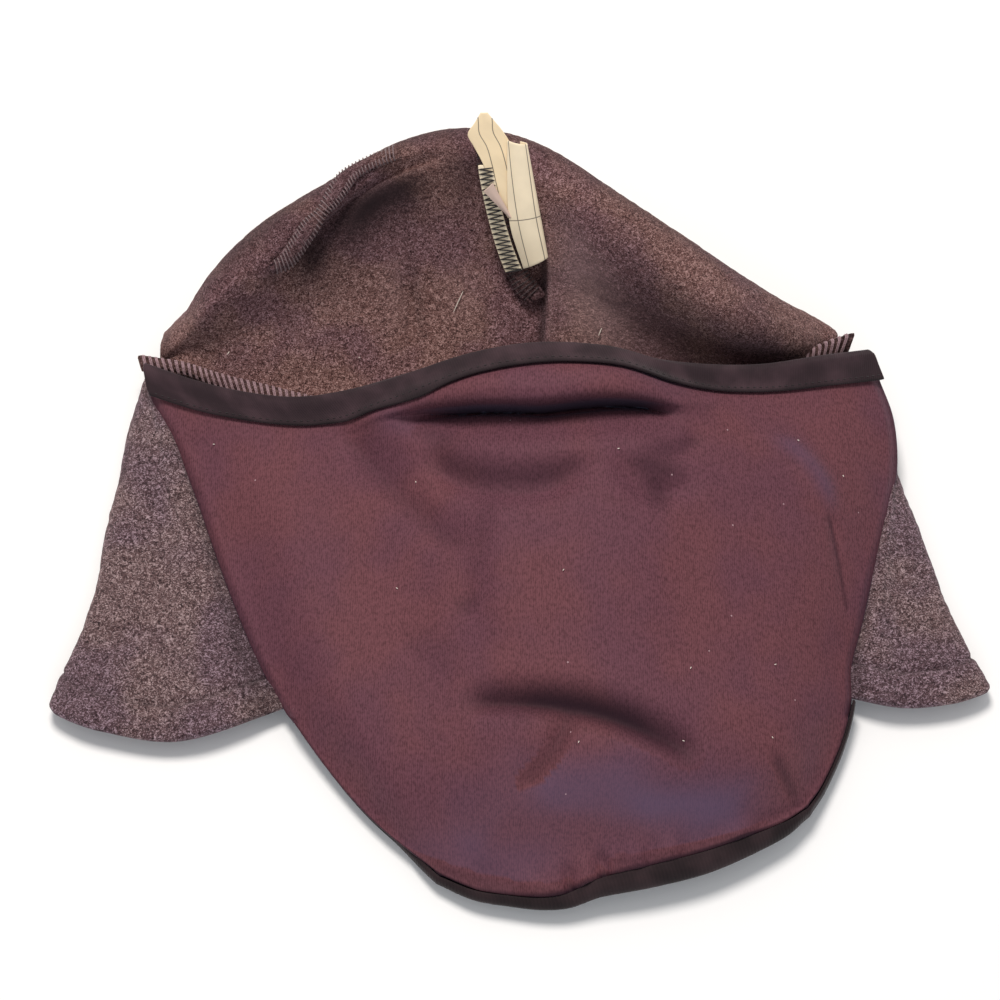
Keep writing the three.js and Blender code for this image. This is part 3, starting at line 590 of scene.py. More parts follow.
def facing_up(surface: Surface, u: Array, v: Array, step: float = 0.004) -> Array:
    """Unit normal of a surface, on its upper side."""
    normal = normal_at(surface, u, v, step)
    return normal * np.sign(normal[:, 2:])


def above_crown(u: Array, v: Array, lift: Array | float) -> Array:
    """A point on the crown's inside, lifted along its normal."""
    return crown_at(u, v) + normal_at(crown_at, u, v, 0.01) * np.reshape(lift, (-1, 1))


def nape_seam_at(s: Array, t: Array) -> Array:
    """Middle of the nape seam's strip, t from its root line to its free edge."""
    ends = between(NAPE_SEAM, s)
    return mix(ends[:, :3], ends[:, 3:], np.reshape(t, (-1, 1)))


def dart_at(
    rows: Rows, s: Array, t: Array, lift: Array | float = STRIP_LIFT, lower: Array | float = 0
) -> Array:
    """Middle of a dart's strip on the crown's inside, t from its root line to its free edge."""
    root_u, root_v, edge_u, edge_v = between(rows, s).T
    return above_crown(mix(root_u, edge_u, t), mix(root_v, edge_v, t) - lower, lift)


def left_dart_at(s: Array, t: Array) -> Array:
    """Middle of the left dart's strip, standing narrow and sunk into the ridge at its upper end."""
    lift = STRIP_LIFT * mix(0.5, 1, smooth(0, 0.5, s))
    return dart_at(LEFT_DART, s, mix(0.15, 0.85, t), lift, 0.018 * (1 - smooth(0, 0.6, s)))


def centre_dart_at(s: Array, t: Array) -> Array:
    """Middle of the centre dart's strip."""
    return dart_at(CENTRE_DART, s, t)


def leaf_at(rows: Rows, profile: Rows, s: Array, t: Array) -> Array:
    """Middle of a leaf of the label: straight from left to right, plus the rise of its section."""
    edges = between(rows, s)
    across, rise = between(profile, t).T
    return mix(edges[:, :3], edges[:, 3:], across[:, None]) + LABEL_FACING * rise[:, None]


def grid(us: Array, vs: Array) -> tuple[Array, Array]:
    """Flat lists of u and v for every crossing of a grid, row after row."""
    u, v = np.meshgrid(us, vs)
    return u.ravel(), v.ravel()


def steps(shape: Shape) -> tuple[Array, Array]:
    """Even stations from 0 to 1 for the columns and rows of a grid of rows by columns."""
    return np.linspace(0, 1, shape[1]), np.linspace(0, 1, shape[0])


def evenly(surface: Surface, along: str, at: float, count: int, weights: Rows = ()) -> Array:
    """Stations at even lengths along one line of a surface.

    Args:
        surface: the surface.
        along: "u" or "v", the way the line runs.
        at: the other coordinate of the line.
        count: how many stations.
        weights: rows of a station and how much finer the spacing is there.

    Returns:
        The stations, from 0 to 1.
    """
    fine = np.linspace(0, 1, 600)
    still = np.full_like(fine, at)
    line = surface(fine, still) if along == "u" else surface(still, fine)
    length = run_along(line, line_at(weights, fine[1:]) if weights else 1)
    return np.interp(np.linspace(0, length[-1], count), length, fine)


class Nap:
    """A smooth random field in space, the same each run."""

    def __init__(self, seed: int, cells: int = 48) -> None:
        """Fills the field's lattice from a seed."""
        self.cells = cells
        self.lattice = np.random.default_rng(seed).uniform(-1, 1, (cells, cells, cells))

    def at(self, points: Array, size: float) -> Array:
        """Values from -1 to 1 at points, with lumps of the given size in millimetres."""
        spot = points.reshape(-1, 3) / size + 1000
        low = np.floor(spot).astype(int)
        t = spot - low
        t = t * t * (3 - 2 * t)
        total = np.zeros(len(spot))
        for corner in range(8):
            step = np.array([corner & 1, corner >> 1 & 1, corner >> 2 & 1])
            share = np.prod(np.where(step, t, 1 - t), axis=1)
            cell = (low + step) % self.cells
            total += share * self.lattice[cell[:, 0], cell[:, 1], cell[:, 2]]
        return total.reshape(points.shape[:-1])


NAP = Nap(11)


class Shade(Enum):
    """Named vertex attributes that materials read."""

    # Painted shade, below 0, and painted light, above 0, that the materials mix into the colour
    TONE = "tone"


def new_object(name: str, points: Array, faces: Array, finish: Material) -> Object:
    """Makes a mesh object from points in millimetres and faces of one size.

    Args:
        name: the piece's name.
        points: N by 3 points.
        faces: M by 3 or M by 4 indices.
        finish: its material.

    Returns:
        The object, at the origin.
    """
    mesh = bpy.data.meshes.new(name)
    corners = faces.shape[1]
    mesh.vertices.add(len(points))
    mesh.vertices.foreach_set("co", (points * MM).astype(np.float32).ravel())
    mesh.loops.add(faces.size)
    mesh.loops.foreach_set("vertex_index", faces.astype(np.int32).ravel())
    mesh.polygons.add(len(faces))
    mesh.polygons.foreach_set("loop_start", np.arange(0, faces.size, corners, dtype=np.int32))
    mesh.polygons.foreach_set("use_smooth", np.ones(len(faces), bool))
    mesh.update(calc_edges=True)
    mesh.validate()
    mesh.materials.append(finish)
    piece = bpy.data.objects.new(name, mesh)
    bpy.context.scene.collection.objects.link(piece)
    return piece


@dataclass
class Cloth:
    """A sheet of cloth: a grid on its middle surface, given a thickness and a rounded rim.

    Attributes:
        middle: rows by columns by 3 points, in millimetres.
        thickness: of the cloth.
        face: how far the side that the normals point to is raised, rows by columns.
        back: the same for the other side.
        tone: painted shade, below 0, and painted light, above 0, written to each point, rows by columns.
        rim: how many bands go round the edge.
    """

    middle: Array
    thickness: float
    face: Array | float = 0.0
    back: Array | float = 0.0
    tone: Array | float = 0.0
    rim: int = 4
    normal: Array = field(init=False)

    def __post_init__(self) -> None:
        """Works out the normals."""
        self.along_u = np.gradient(self.middle, axis=1)
        self.along_v = np.gradient(self.middle, axis=0)
        self.normal = unit(np.cross(self.along_u, self.along_v))

    @classmethod
    def woven(
        cls, shape: Shape, middle: Array, thickness: float, *others: Array | float
    ) -> "Cloth":
        """The sheet from flat lists, row after row: its points, then face, back, painted shade and light,
        and rim.
        """
        squared = [np.reshape(item, shape) if np.ndim(item) else item for item in others]
        return cls(np.reshape(middle, (*shape, 3)), thickness, *squared)

    def border(self) -> tuple[Array, Array]:
        """Indices round the edge, anticlockwise from the face, and the way out of the sheet at each."""
        rows, columns = self.middle.shape[:2]
        index = np.arange(rows * columns).reshape(rows, columns)
        loop = np.concatenate([index[0, :-1], index[:-1, -1], index[-1, :0:-1], index[:0:-1, 0]])
        outward = np.zeros_like(self.middle)
        outward[0] -= unit(self.along_v[0])
        outward[-1] += unit(self.along_v[-1])
        outward[:, 0] -= unit(self.along_u[:, 0])
        outward[:, -1] += unit(self.along_u[:, -1])
        return loop, unit(outward.reshape(-1, 3)[loop])

    def lengths(self) -> Array:
        """Each point's place in the flat cloth, in metres, measured from its middle row and column."""
        rows, columns = self.middle.shape[:2]
        flat = np.zeros((rows, columns, 2))
        for axis, count in ((1, columns), (0, rows)):
            steps = np.linalg.norm(np.diff(self.middle, axis=axis), axis=-1)
            run = np.cumsum(steps, axis=axis)
            run = np.concatenate([np.zeros_like(np.take(run, [0], axis=axis)), run], axis=axis)
            run -= np.take(run, [count // 2], axis=axis)
            flat[:, :, 1 - axis] = run * MM
        return flat

    def build(self, name: str, finish: Material) -> Object:
        """Makes the closed mesh, with a UV map in metres and an attribute of painted shade and light."""
        rows, columns = self.middle.shape[:2]
        count = rows * columns
        half = self.thickness / 2
        raised = (half + np.broadcast_to(self.face, (rows, columns)))[:, :, None]
        lowered = (half + np.broadcast_to(self.back, (rows, columns)))[:, :, None]
        face = (self.middle + self.normal * raised).reshape(-1, 3)
        back = (self.middle - self.normal * lowered).reshape(-1, 3)
        loop, outward = self.border()
        centre, across = (face[loop] + back[loop]) / 2, (face[loop] - back[loop]) / 2
        bands = [
            centre + across * math.cos(turn) + outward * half * math.sin(turn)
            for turn in np.linspace(0, math.pi, self.rim + 1)[1:-1]
        ]
        points = np.concatenate([face, back, *bands])
        points[:, 2] = np.maximum(points[:, 2], 0)
        index = np.arange(count).reshape(rows, columns)
        a, b, c, d = index[:-1, :-1], index[:-1, 1:], index[1:, 1:], index[1:, :-1]
        front = np.stack([a, b, c, d], axis=-1).reshape(-1, 4)
        behind = np.stack([a, d, c, b], axis=-1).reshape(-1, 4) + count
        between_faces = (2 * count + k * len(loop) + np.arange(len(loop)) for k in range(len(bands)))
        rings = [loop, *between_faces, loop + count]
        walls = [
            np.stack([upper, lower, np.roll(lower, -1), np.roll(upper, -1)], axis=-1)
            for upper, lower in zip(rings[:-1], rings[1:])
        ]
        faces = np.concatenate([front, behind, *walls])
        piece = new_object(name, points, faces, finish)
        source = np.concatenate([np.arange(count), np.arange(count), *([loop] * len(bands))])
        flat = self.lengths().reshape(-1, 2)[source]
        layer = piece.data.uv_layers.new(name="cloth")
        layer.data.foreach_set("uv", flat[faces.ravel()].astype(np.float32).ravel())
        tone = np.broadcast_to(self.tone, (rows, columns)).ravel()[source]
        shade = piece.data.attributes.new(Shade.TONE.value, "FLOAT", "POINT")
        shade.data.foreach_set("value", tone.astype(np.float32))
        return piece


def deselect_all() -> None:
    """Leaves nothing selected, so that an operator acts on what it adds."""
    bpy.ops.object.select_all(action="DESELECT")


@dataclass(frozen=True)
class Pattern:
    """Points and faces of a small form that is modelled once and copied."""

    points: Array
    faces: Array

    @classmethod
    def taken_from(cls, piece: Object) -> "Pattern":
        """Reads the form from an object, as triangles, and removes the object."""
        mesh = piece.data
        mesh.calc_loop_triangles()
        points = np.array([vertex.co for vertex in mesh.vertices])
        faces = np.array([triangle.vertices for triangle in mesh.loop_triangles])
        bpy.data.objects.remove(piece)
        bpy.data.meshes.remove(mesh)
        return cls(points, faces)

    def laid(
        self, name: str, middles: Array, axes: Sequence[Array], amounts: Sequence[Array], finish: Material
    ) -> Object:
        """Makes one object of copies.

        Args:
            name: the piece's name.
            middles: the N copies' middles.
            axes: three lists of N directions.
            amounts: how far each point lies along each of the three, N or 1 by points.
            finish: its material.

        Returns:
            The joined copies.
        """
        places = middles[:, None]
        for axis, amount in zip(axes, amounts):
            places = places + axis[:, None] * amount[:, :, None]
        copies, size = places.shape[:2]
        faces = self.faces[None] + (np.arange(copies) * size)[:, None, None]
        return new_object(name, places.reshape(-1, 3), faces.reshape(-1, 3), finish)


def quarter_turned(axis: str) -> Pattern:
    """Takes the form that was just added, turned by a quarter about an axis."""
    bpy.ops.object.mode_set(mode="EDIT")
    bpy.ops.mesh.select_all(action="SELECT")
    bpy.ops.transform.rotate(value=math.pi / 2, orient_axis=axis, center_override=(0, 0, 0))
    bpy.ops.object.mode_set(mode="OBJECT")
    return Pattern.taken_from(bpy.context.active_object)


def thread_pattern(rings: int = 6, sides: int = 6) -> Pattern:
    """A straight length of thread along X with tapered ends: half length 1, radius 1."""
    deselect_all()
    bpy.ops.mesh.primitive_uv_sphere_add(segments=sides, ring_count=rings, radius=1)
    return quarter_turned("Y")


def loop_pattern(thread: float, around: int = 12, sides: int = 5) -> Pattern:
    """A ring of thread in the XZ plane, of radius 1 to the thread's middle, for wrapping an edge."""
    deselect_all()
    bpy.ops.mesh.primitive_torus_add(
        major_segments=around, minor_segments=sides, major_radius=1, minor_radius=thread
    )
    return quarter_turned("X")


def lay_threads(
    name: str, starts: Array, ends: Array, up: Array, radius: float, bow: float, finish: Material
) -> Object:
    """Lays one short thread from each start to its end.

    Args:
        name: the piece's name.
        starts: N by 3 points.
        ends: N by 3 points.
        up: N by 3 unit normals of what the threads lie on.
        radius: of the thread.
        bow: how far a thread's middle stands up.
        finish: its material.

    Returns:
        The joined threads.
    """
    pattern = thread_pattern()
    along = (ends - starts) / 2
    side = unit(np.cross(up, along))
    x, y, z = pattern.points.T
    rounded = np.sign(x) * np.abs(x) ** 0.6
    amounts = (rounded[None], radius * y[None], (radius * z + bow * (1 - rounded**2))[None])
    return pattern.laid(name, (starts + ends) / 2, (along, side, up), amounts, finish)


def wrap_threads(
    name: str, roots: Array, edges: Array, along: Array, half_depth: float, slant: float, thread: float,
    finish: Material,
) -> Object:
    """Wraps a strip in overlock loops.

    Args:
        name: the piece's name.
        roots: N by 3 points on the strip's root line.
        edges: N by 3 points on its free edge.
        along: N by 3 unit directions along the strip.
        half_depth: half the strip's thickness, with the thread.
        slant: how far a loop leans along the strip, as a share of the strip's width.
        thread: radius of the thread.
        finish: its material.

    Returns:
        The joined loops.
    """
    pattern = loop_pattern(thread / half_depth)
    across = edges - roots
    width = np.linalg.norm(across, axis=1)
    across = unit(across)
    up = unit(np.cross(along, across))
    x, y, z = pattern.points.T
    stretch = np.maximum(width / 2 - half_depth * 0.25, 0)[:, None] * np.sign(np.round(x, 3))[None]
    over = half_depth * x[None] + stretch
    amounts = (over, half_depth * z[None], half_depth * y[None] + slant * over)
    return pattern.laid(name, (roots + edges) / 2, (across, up, along), amounts, finish)


def linear(red: float, green: float, blue: float) -> tuple[float, float, float, float]:
    """A colour given 0 to 255 a channel, as the shader's linear values."""
    def one(value: float) -> float:
        """One channel."""
        share = value / 255
        return share / 12.92 if share <= 0.04045 else ((share + 0.055) / 1.055) ** 2.4
    return one(red), one(green), one(blue), 1.0


class Nodes:
    """Writes a node tree: adds nodes and joins their sockets."""

    def __init__(self, tree: bpy.types.NodeTree) -> None:
        """Takes the tree to write to."""
        self.tree = tree

    def add(self, kind: str, settings: dict | None = None, **inputs: object) -> bpy.types.Node:
        """Adds a node, sets its properties, and joins or sets its inputs.

        Args:
            kind: the node's type.
            settings: properties of the node.
            inputs: values or sockets by input name, with _ for a space, or in_N for input number N.

        Returns:
            The node.
        """
        node = self.tree.nodes.new(kind)
        for key, value in (settings or {}).items():
            setattr(node, key, value)
        for key, value in inputs.items():
            plain = key[3:] if key.startswith("in_") else key.replace("_", " ")
            socket = node.inputs[int(plain) if plain.isdigit() else plain]
            if isinstance(value, Socket):
                self.tree.links.new(value, socket)
            else:
                socket.default_value = value
        return node

    def math(self, operation: str, a: object, b: object = 0.0, clamp: bool = False) -> Socket:
        """A Math node's result."""
        settings = {"operation": operation, "use_clamp": clamp}
        return self.add("ShaderNodeMath", settings, in_0=a, in_1=b).outputs[0]

    def noise(self, vector: object, scale: object, detail: float = 2.0, **others: float) -> Socket:
        """A noise texture's factor, with lumps of about 1/scale metres."""
        node = self.add("ShaderNodeTexNoise", Vector=vector, Scale=scale, Detail=detail, **others)
        return node.outputs["Fac"]

    def step(
        self, value: object, low: float, high: float, to_low: float = 0.0, to_high: float = 1.0
    ) -> Socket:
        """A smooth step of a value from low to high."""
        node = self.add(
            "ShaderNodeMapRange", {"interpolation_type": "SMOOTHSTEP"},
            in_0=value, in_1=low, in_2=high, in_3=to_low, in_4=to_high,
        )
        return node.outputs[0]

    def blend(self, factor: object, a: Socket | Colour, b: Socket | Colour, how: str = "MIX") -> Socket:
        """A colour between a and b, each a socket or a colour given 0 to 255 a channel."""
        settings = {"data_type": "RGBA", "blend_type": how}
        a, b = (linear(*end) if isinstance(end, tuple) else end for end in (a, b))
        return self.add("ShaderNodeMix", settings, in_0=factor, in_6=a, in_7=b).outputs[2]


def new_group(
    name: str, inputs: dict[str, float | None], outputs: Sequence[str]
) -> tuple[bpy.types.NodeTree, Nodes]:
    """Starts a shader node group with float inputs, None for the vector, and float outputs."""
    tree = bpy.data.node_groups.new(name, "ShaderNodeTree")
    for label, value in inputs.items():
        kind = "NodeSocketVector" if value is None else "NodeSocketFloat"
        socket = tree.interface.new_socket(name=label, in_out="INPUT", socket_type=kind)
        if value is not None:
            socket.default_value = value
    for label in outputs:
        tree.interface.new_socket(name=label, in_out="OUTPUT", socket_type="NodeSocketFloat")
    return tree, Nodes(tree)


def heather_group() -> bpy.types.NodeTree:
    """Fleece nap: curly lumps of fibre, light and dark, over slow changes of shade."""
    tree, nodes = new_group(
        "heather", {"Vector": None, "Size": 0.0015, "Cloud": 0.02}, ("Tone", "Height", "Cloud")
    )
    given = nodes.add("NodeGroupInput").outputs
    where = given["Vector"]
    scale = nodes.math("DIVIDE", 1.0, given["Size"])
    finer = nodes.math("MULTIPLY", scale, 2.7)
    curls = nodes.noise(where, scale, 3.0, Roughness=0.62, Distortion=1.6)
    fine = nodes.noise(where, finer, 2.0, Roughness=0.6, Distortion=0.8)
    lumps = nodes.add(
        "ShaderNodeTexVoronoi", {"feature": "SMOOTH_F1"}, Vector=where,
        Scale=nodes.math("MULTIPLY", scale, 0.8), Smoothness=0.6,
    ).outputs["Distance"]
    cloud = nodes.noise(where, nodes.math("DIVIDE", 1.0, given["Cloud"]))
    both = nodes.math("ADD", nodes.math("MULTIPLY", curls, 0.62), nodes.math("MULTIPLY", fine, 0.38))
    height = nodes.math("SUBTRACT", both, nodes.math("MULTIPLY", lumps, 0.35))
    nodes.add("NodeGroupOutput", Tone=nodes.step(both, 0.34, 0.66), Height=height, Cloud=cloud)
    return tree


def wale_group() -> bpy.types.NodeTree:
    """Fine ribs of a knit that run along Y, a pitch apart, slightly uneven."""
    tree, nodes = new_group("wales", {"Vector": None, "Pitch": 0.0007, "Waver": 0.3}, ("Height", "Streak"))
    given = nodes.add("NodeGroupInput").outputs
    parts = nodes.add("ShaderNodeSeparateXYZ", Vector=given["Vector"]).outputs
    uneven = nodes.math("SUBTRACT", nodes.noise(given["Vector"], 260.0), 0.5)
    sway = nodes.math("MULTIPLY", nodes.math("MULTIPLY", uneven, given["Waver"]), 6.0)
    turns = nodes.math("ADD", nodes.math("DIVIDE", parts["X"], given["Pitch"]), sway)
    ribs = nodes.math("SINE", nodes.math("MULTIPLY", turns, 2 * math.pi))
    stretched = nodes.add("ShaderNodeMapping", Vector=given["Vector"], Scale=(1.0, 0.55, 0.6))
    streak = nodes.noise(stretched.outputs["Vector"], 1500.0, 3.0)
    nodes.add("NodeGroupOutput", Height=nodes.math("MULTIPLY_ADD", ribs, 0.5), Streak=streak)
    return tree


def speck_group() -> bpy.types.NodeTree:
    """Sparse tiny specks of lint."""
    tree, nodes = new_group("specks", {"Vector": None, "Spacing": 0.006, "Size": 0.05}, ("Mask",))
    given = nodes.add("NodeGroupInput").outputs
    scale = nodes.math("DIVIDE", 1.0, given["Spacing"])
    cells = nodes.add("ShaderNodeTexVoronoi", Vector=given["Vector"], Scale=scale).outputs
    chance = nodes.add("ShaderNodeSeparateColor", Color=cells["Color"]).outputs[0]
    picked = nodes.math("GREATER_THAN", chance, 0.55)
    near = nodes.math("LESS_THAN", cells["Distance"], given["Size"])
    nodes.add("NodeGroupOutput", Mask=nodes.math("MULTIPLY", picked, near))
    return tree


class Effects:
    """The shared node groups, each built once."""

    def __init__(self) -> None:
        """Builds the groups."""
        self.heather = heather_group()
        self.wales = wale_group()
        self.specks = speck_group()


class Coat(Nodes):
    """A material while its nodes are written, with its shader joined to the output."""

    def __init__(self, name: str) -> None:
        """Starts an empty material."""
        self.material = bpy.data.materials.new(name)
        self.material.use_nodes = True
        self.material.node_tree.nodes.clear()
        super().__init__(self.material.node_tree)
        self.shader = self.add("ShaderNodeBsdfPrincipled")
        self.add("ShaderNodeOutputMaterial", Surface=self.shader.outputs[0])

    def where(self, kind: str = "Object") -> Socket:
        """Object coordinates, or the piece's own UV map."""
        return self.add("ShaderNodeTexCoord").outputs[kind]

    def place(self, group: bpy.types.NodeTree, **inputs: object) -> bpy.types.NodeOutputs:
        """Outputs of a shared group, placed with its own values."""
        return self.add("ShaderNodeGroup", {"node_tree": group}, **inputs).outputs

    def tone(self, factor: float) -> Socket:
        """The piece's painted shade and light times a factor, kept between 0 and 1."""
        tone = self.add("ShaderNodeAttribute", {"attribute_name": Shade.TONE.value}).outputs["Fac"]
        return self.math("MULTIPLY", tone, factor, True)

    def finished(
        self, colour: Socket, height: Socket | None = None, strength: float = 1.0,
        depth: float = 0.0, **constants: object,
    ) -> Material:
        """Joins colour and bump to the shader and sets its constants.

        Args:
            colour: of the surface.
            height: of the bump, if it has one.
            strength: of the bump.
            depth: of the bump, in metres.
            constants: values by the shader's input name, with _ for a space.

        Returns:
            The material.
        """
        self.tree.links.new(colour, self.shader.inputs["Base Color"])
        if height is not None:
            bump = self.add("ShaderNodeBump", Strength=strength, Distance=depth, Height=height)
            self.tree.links.new(bump.outputs[0], self.shader.inputs["Normal"])
        for label, value in constants.items():
            self.shader.inputs[label.replace("_", " ")].default_value = value
        return self.material


@dataclass(frozen=True)
class FleeceFinish:
    """Brushed fleece: heathered curls of fibre with a soft sheen.

    Attributes:
        name: the material's name.
        dark: colour deep in the nap.
        mid: colour of most of it.
        light: colour of the fibre tips.
        curl: size of a curl, in metres.
        relief: height of the nap's bump, in metres.
        sheen: how much light the fibre tips catch.
    """

    name: str
    dark: Colour
    mid: Colour
    light: Colour
    curl: float
    relief: float
    sheen: float
    cool: Colour = (232, 222, 232)
    warm: Colour = (255, 248, 240)
    # Colours of painted shade and painted light
    shaded: Colour = (32, 22, 25)
    lit: Colour = (176, 144, 144)

    def build(self, effects: Effects) -> Material:
        """Makes the material."""
        coat = Coat(self.name)
        nap = coat.place(effects.heather, Vector=coat.where(), Size=self.curl, Cloud=0.03)
        low = coat.blend(coat.step(nap["Tone"], 0.0, 0.55), self.dark, self.mid)
        colour = coat.blend(coat.step(nap["Tone"], 0.5, 1.0), low, self.light)
        drift = coat.blend(coat.step(nap["Cloud"], 0.4, 0.6), self.cool, self.warm)
        colour = coat.blend(1.0, colour, drift, "MULTIPLY")
        # Painted shade, then painted light, from each point's painted values
        colour = coat.blend(coat.tone(-1.0), colour, self.shaded)
        colour = coat.blend(coat.tone(1.0), colour, self.lit)
        return coat.finished(
            colour, nap["Height"], 1.0, self.relief, Roughness=1.0, Specular_IOR_Level=0.1,
            Sheen_Weight=self.sheen, Sheen_Roughness=0.5, Sheen_Tint=linear(226, 208, 214),
        )


@dataclass(frozen=True)
class KnitFinish:
    """Smooth stretch cloth with fine wales, specks of lint, painted shade and a painted blue sheen.

    Attributes:
        name: the material's name.
        deep: colour between the wales.
        bright: colour on them.
        pitch: distance of the wales, in metres.
    """

    name: str
    deep: Colour
    bright: Colour
    pitch: float
    cool: Colour = (238, 238, 250)
    warm: Colour = (255, 250, 246)
    # Colours of painted shade and of a painted blue sheen
    shaded: Colour = (34, 12, 24)
    painted_sheen: Colour = (88, 72, 98)
    dust: Colour = (190, 160, 165)

    def build(self, effects: Effects) -> Material:
        """Makes the material."""
        coat = Coat(self.name)
        where = coat.where()
        ribs = coat.place(effects.wales, Vector=where, Pitch=self.pitch)
        specks = coat.place(effects.specks, Vector=where, Spacing=0.009, Size=0.035)["Mask"]
        grain = coat.math("ADD", coat.math("MULTIPLY", ribs["Height"], 0.16), ribs["Streak"])
        colour = coat.blend(coat.step(grain, 0.2, 0.8), self.deep, self.bright)
        cloud = coat.step(coat.noise(where, 30.0), 0.35, 0.65)
        drift = coat.blend(cloud, self.cool, self.warm)
        colour = coat.blend(1.0, colour, drift, "MULTIPLY")
        # Painted shade in folds, then a painted blue sheen
        colour = coat.blend(coat.tone(-1.0), colour, self.shaded)
        colour = coat.blend(coat.tone(0.7), colour, self.painted_sheen)
        colour = coat.blend(coat.math("MULTIPLY", specks, 0.55), colour, self.dust)
        return coat.finished(
            colour, ribs["Height"], 0.35, 0.00012, Roughness=0.72, Specular_IOR_Level=0.2,
            Sheen_Weight=0.12, Sheen_Roughness=0.4, Sheen_Tint=linear(190, 190, 235),
        )


@dataclass(frozen=True)
class TapeFinish:
    """Matt woven tape or facing, with faint ribs across it.

    Attributes:
        name: the material's name.
        dark: its colour.
        worn: its colour where it has rubbed.
        pitch: distance of the ribs, in metres.
    """

    name: str
    dark: Colour
    worn: Colour
    pitch: float
    # Colour of painted shade
    shaded: Colour = (12, 8, 9)

    def build(self, effects: Effects) -> Material:
        """Makes the material."""
        coat = Coat(self.name)
        where = coat.where("UV")
        ribs = coat.place(effects.wales, Vector=where, Pitch=self.pitch, Waver=0.1)
        wear = coat.step(coat.noise(where, 70.0, 3.0), 0.35, 0.75, 0.0, 0.8)
        rubbed = coat.math("ADD", wear, coat.math("MULTIPLY", ribs["Height"], 0.15))
        colour = coat.blend(rubbed, self.dark, self.worn)
        # Painted shade
        colour = coat.blend(coat.tone(-1.0), colour, self.shaded)
        return coat.finished(
            colour, ribs["Height"], 0.4, 0.00015, Roughness=0.85, Specular_IOR_Level=0.25,
            Sheen_Weight=0.15, Sheen_Roughness=0.4,
        )


@dataclass(frozen=True)
class ThreadFinish:
    """Spun thread: its name, its colour, and its colour in the twist."""

    name: str
    colour: Colour
    shade: Colour

    def build(self, effects: Effects) -> Material:
        """Makes the material."""
        coat = Coat(self.name)
        fuzz = coat.noise(coat.where(), 2500.0, 3.0)
        colour = coat.blend(coat.step(fuzz, 0.3, 0.7), self.shade, self.colour)
        return coat.finished(colour, fuzz, 0.6, 0.0001, Roughness=0.7, Sheen_Weight=0.2)


@dataclass(frozen=True)
class LabelFinish:
    """Cream woven label with plain ruled lines and no lettering.

    Attributes:
        name: the material's name.
        cream: its colour.
        rulings: places of the lines along the label, in metres from its middle.
        crossings: places of the lines across it.
        ink: colour of the lines.
    """

    name: str
    cream: Colour
    rulings: tuple[float, ...] = ()
    crossings: tuple[float, ...] = ()
    ink: Colour = (70, 60, 58)

    def build(self, effects: Effects) -> Material:
        """Makes the material."""
        coat = Coat(self.name)
        where = coat.where("UV")
        parts = coat.add("ShaderNodeSeparateXYZ", Vector=where).outputs
        weave = coat.place(effects.wales, Vector=where, Pitch=0.00035, Waver=0.05)
        cloud = coat.step(coat.noise(where, 120.0, 3.0), 0.3, 0.75)
        colour = coat.blend(cloud, self.cream, tuple(c * 0.96 for c in self.cream))
        printed: object = 0.0
        for axis, places in (("X", self.rulings), ("Y", self.crossings)):
            for ruling in places:
                off = coat.math("ABSOLUTE", coat.math("SUBTRACT", parts[axis], ruling))
                printed = coat.math("MAXIMUM", coat.step(off, 0.00010, 0.00022, 1.0, 0.0), printed)
        colour = coat.blend(coat.math("MULTIPLY", printed, 0.85), colour, self.ink)
        return coat.finished(colour, weave["Height"], 0.3, 0.00008, Roughness=0.6, Sheen_Weight=0.1)


@dataclass(frozen=True)
class FloorFinish:
    """Pale plain floor with the faintest grain."""

    name: str
    pale: Colour

    def build(self, effects: Effects) -> Material:
        """Makes the material."""
        coat = Coat(self.name)
        paler = tuple(min(c + 3, 255) for c in self.pale)
        colour = coat.blend(coat.noise(coat.where(), 8.0), self.pale, paler)
        return coat.finished(colour, Roughness=0.9, Specular_IOR_Level=0.1)


class Slot(Enum):
    """The record's material slots."""

    FLEECE = "fleece"
    MASK = "mask_cloth"
    BINDING = "binding"
    LABEL = "label"


class Finishes:
    """Every material of the hood, made once."""

    def __init__(self) -> None:
        """Builds the materials."""
        effects = Effects()
        # The inside's colours are lighter than the cheeks': partly the fleece's own colour, partly painted
        # light that lightens the shade on the crown's wall
        self.inside = FleeceFinish(
            "fleece_inside", (54, 36, 37), (122, 90, 88), (188, 156, 156), 0.0010, 0.0008, 0.12
        ).build(effects)
        self.cheek = FleeceFinish(
            "fleece_cheek", (42, 30, 33), (104, 81, 84), (188, 168, 174), 0.0012, 0.0013, 0.28
        ).build(effects)
        self.mask = KnitFinish("mask_knit", (74, 40, 46), (109, 66, 74), 0.0007).build(effects)
        self.tape = TapeFinish("binding_tape", (38, 25, 30), (68, 49, 55), 0.0009).build(effects)
        self.facing = TapeFinish("facing_cloth", (26, 16, 19), (52, 37, 40), 0.0012).build(effects)
        self.thread = ThreadFinish("overlock_thread", (176, 144, 150), (112, 84, 90)).build(effects)
        self.dull_thread = ThreadFinish("dull_thread", (138, 114, 116), (80, 62, 64)).build(effects)
        self.brown_thread = ThreadFinish("brown_thread", (76, 58, 60), (38, 28, 30)).build(effects)
        self.dark_thread = ThreadFinish("dark_thread", (40, 30, 32), (18, 12, 13)).build(effects)
        cream = (252, 234, 202)
        self.label = LabelFinish("label_plain", cream).build(effects)
        self.ruled = LabelFinish("label_ruled", cream, (-0.0050, 0.0014), (-0.0056,)).build(effects)
        self.ruled_once = LabelFinish("label_ruled_once", (252, 228, 188), (-0.0022, 0.0026)).build(effects)
        self.worn_label = LabelFinish("label_back", (206, 180, 166)).build(effects)
        self.lint = ThreadFinish("lint", (236, 226, 214), (200, 188, 178)).build(effects)
        self.floor = FloorFinish("floor_pale", (246, 246, 246)).build(effects)


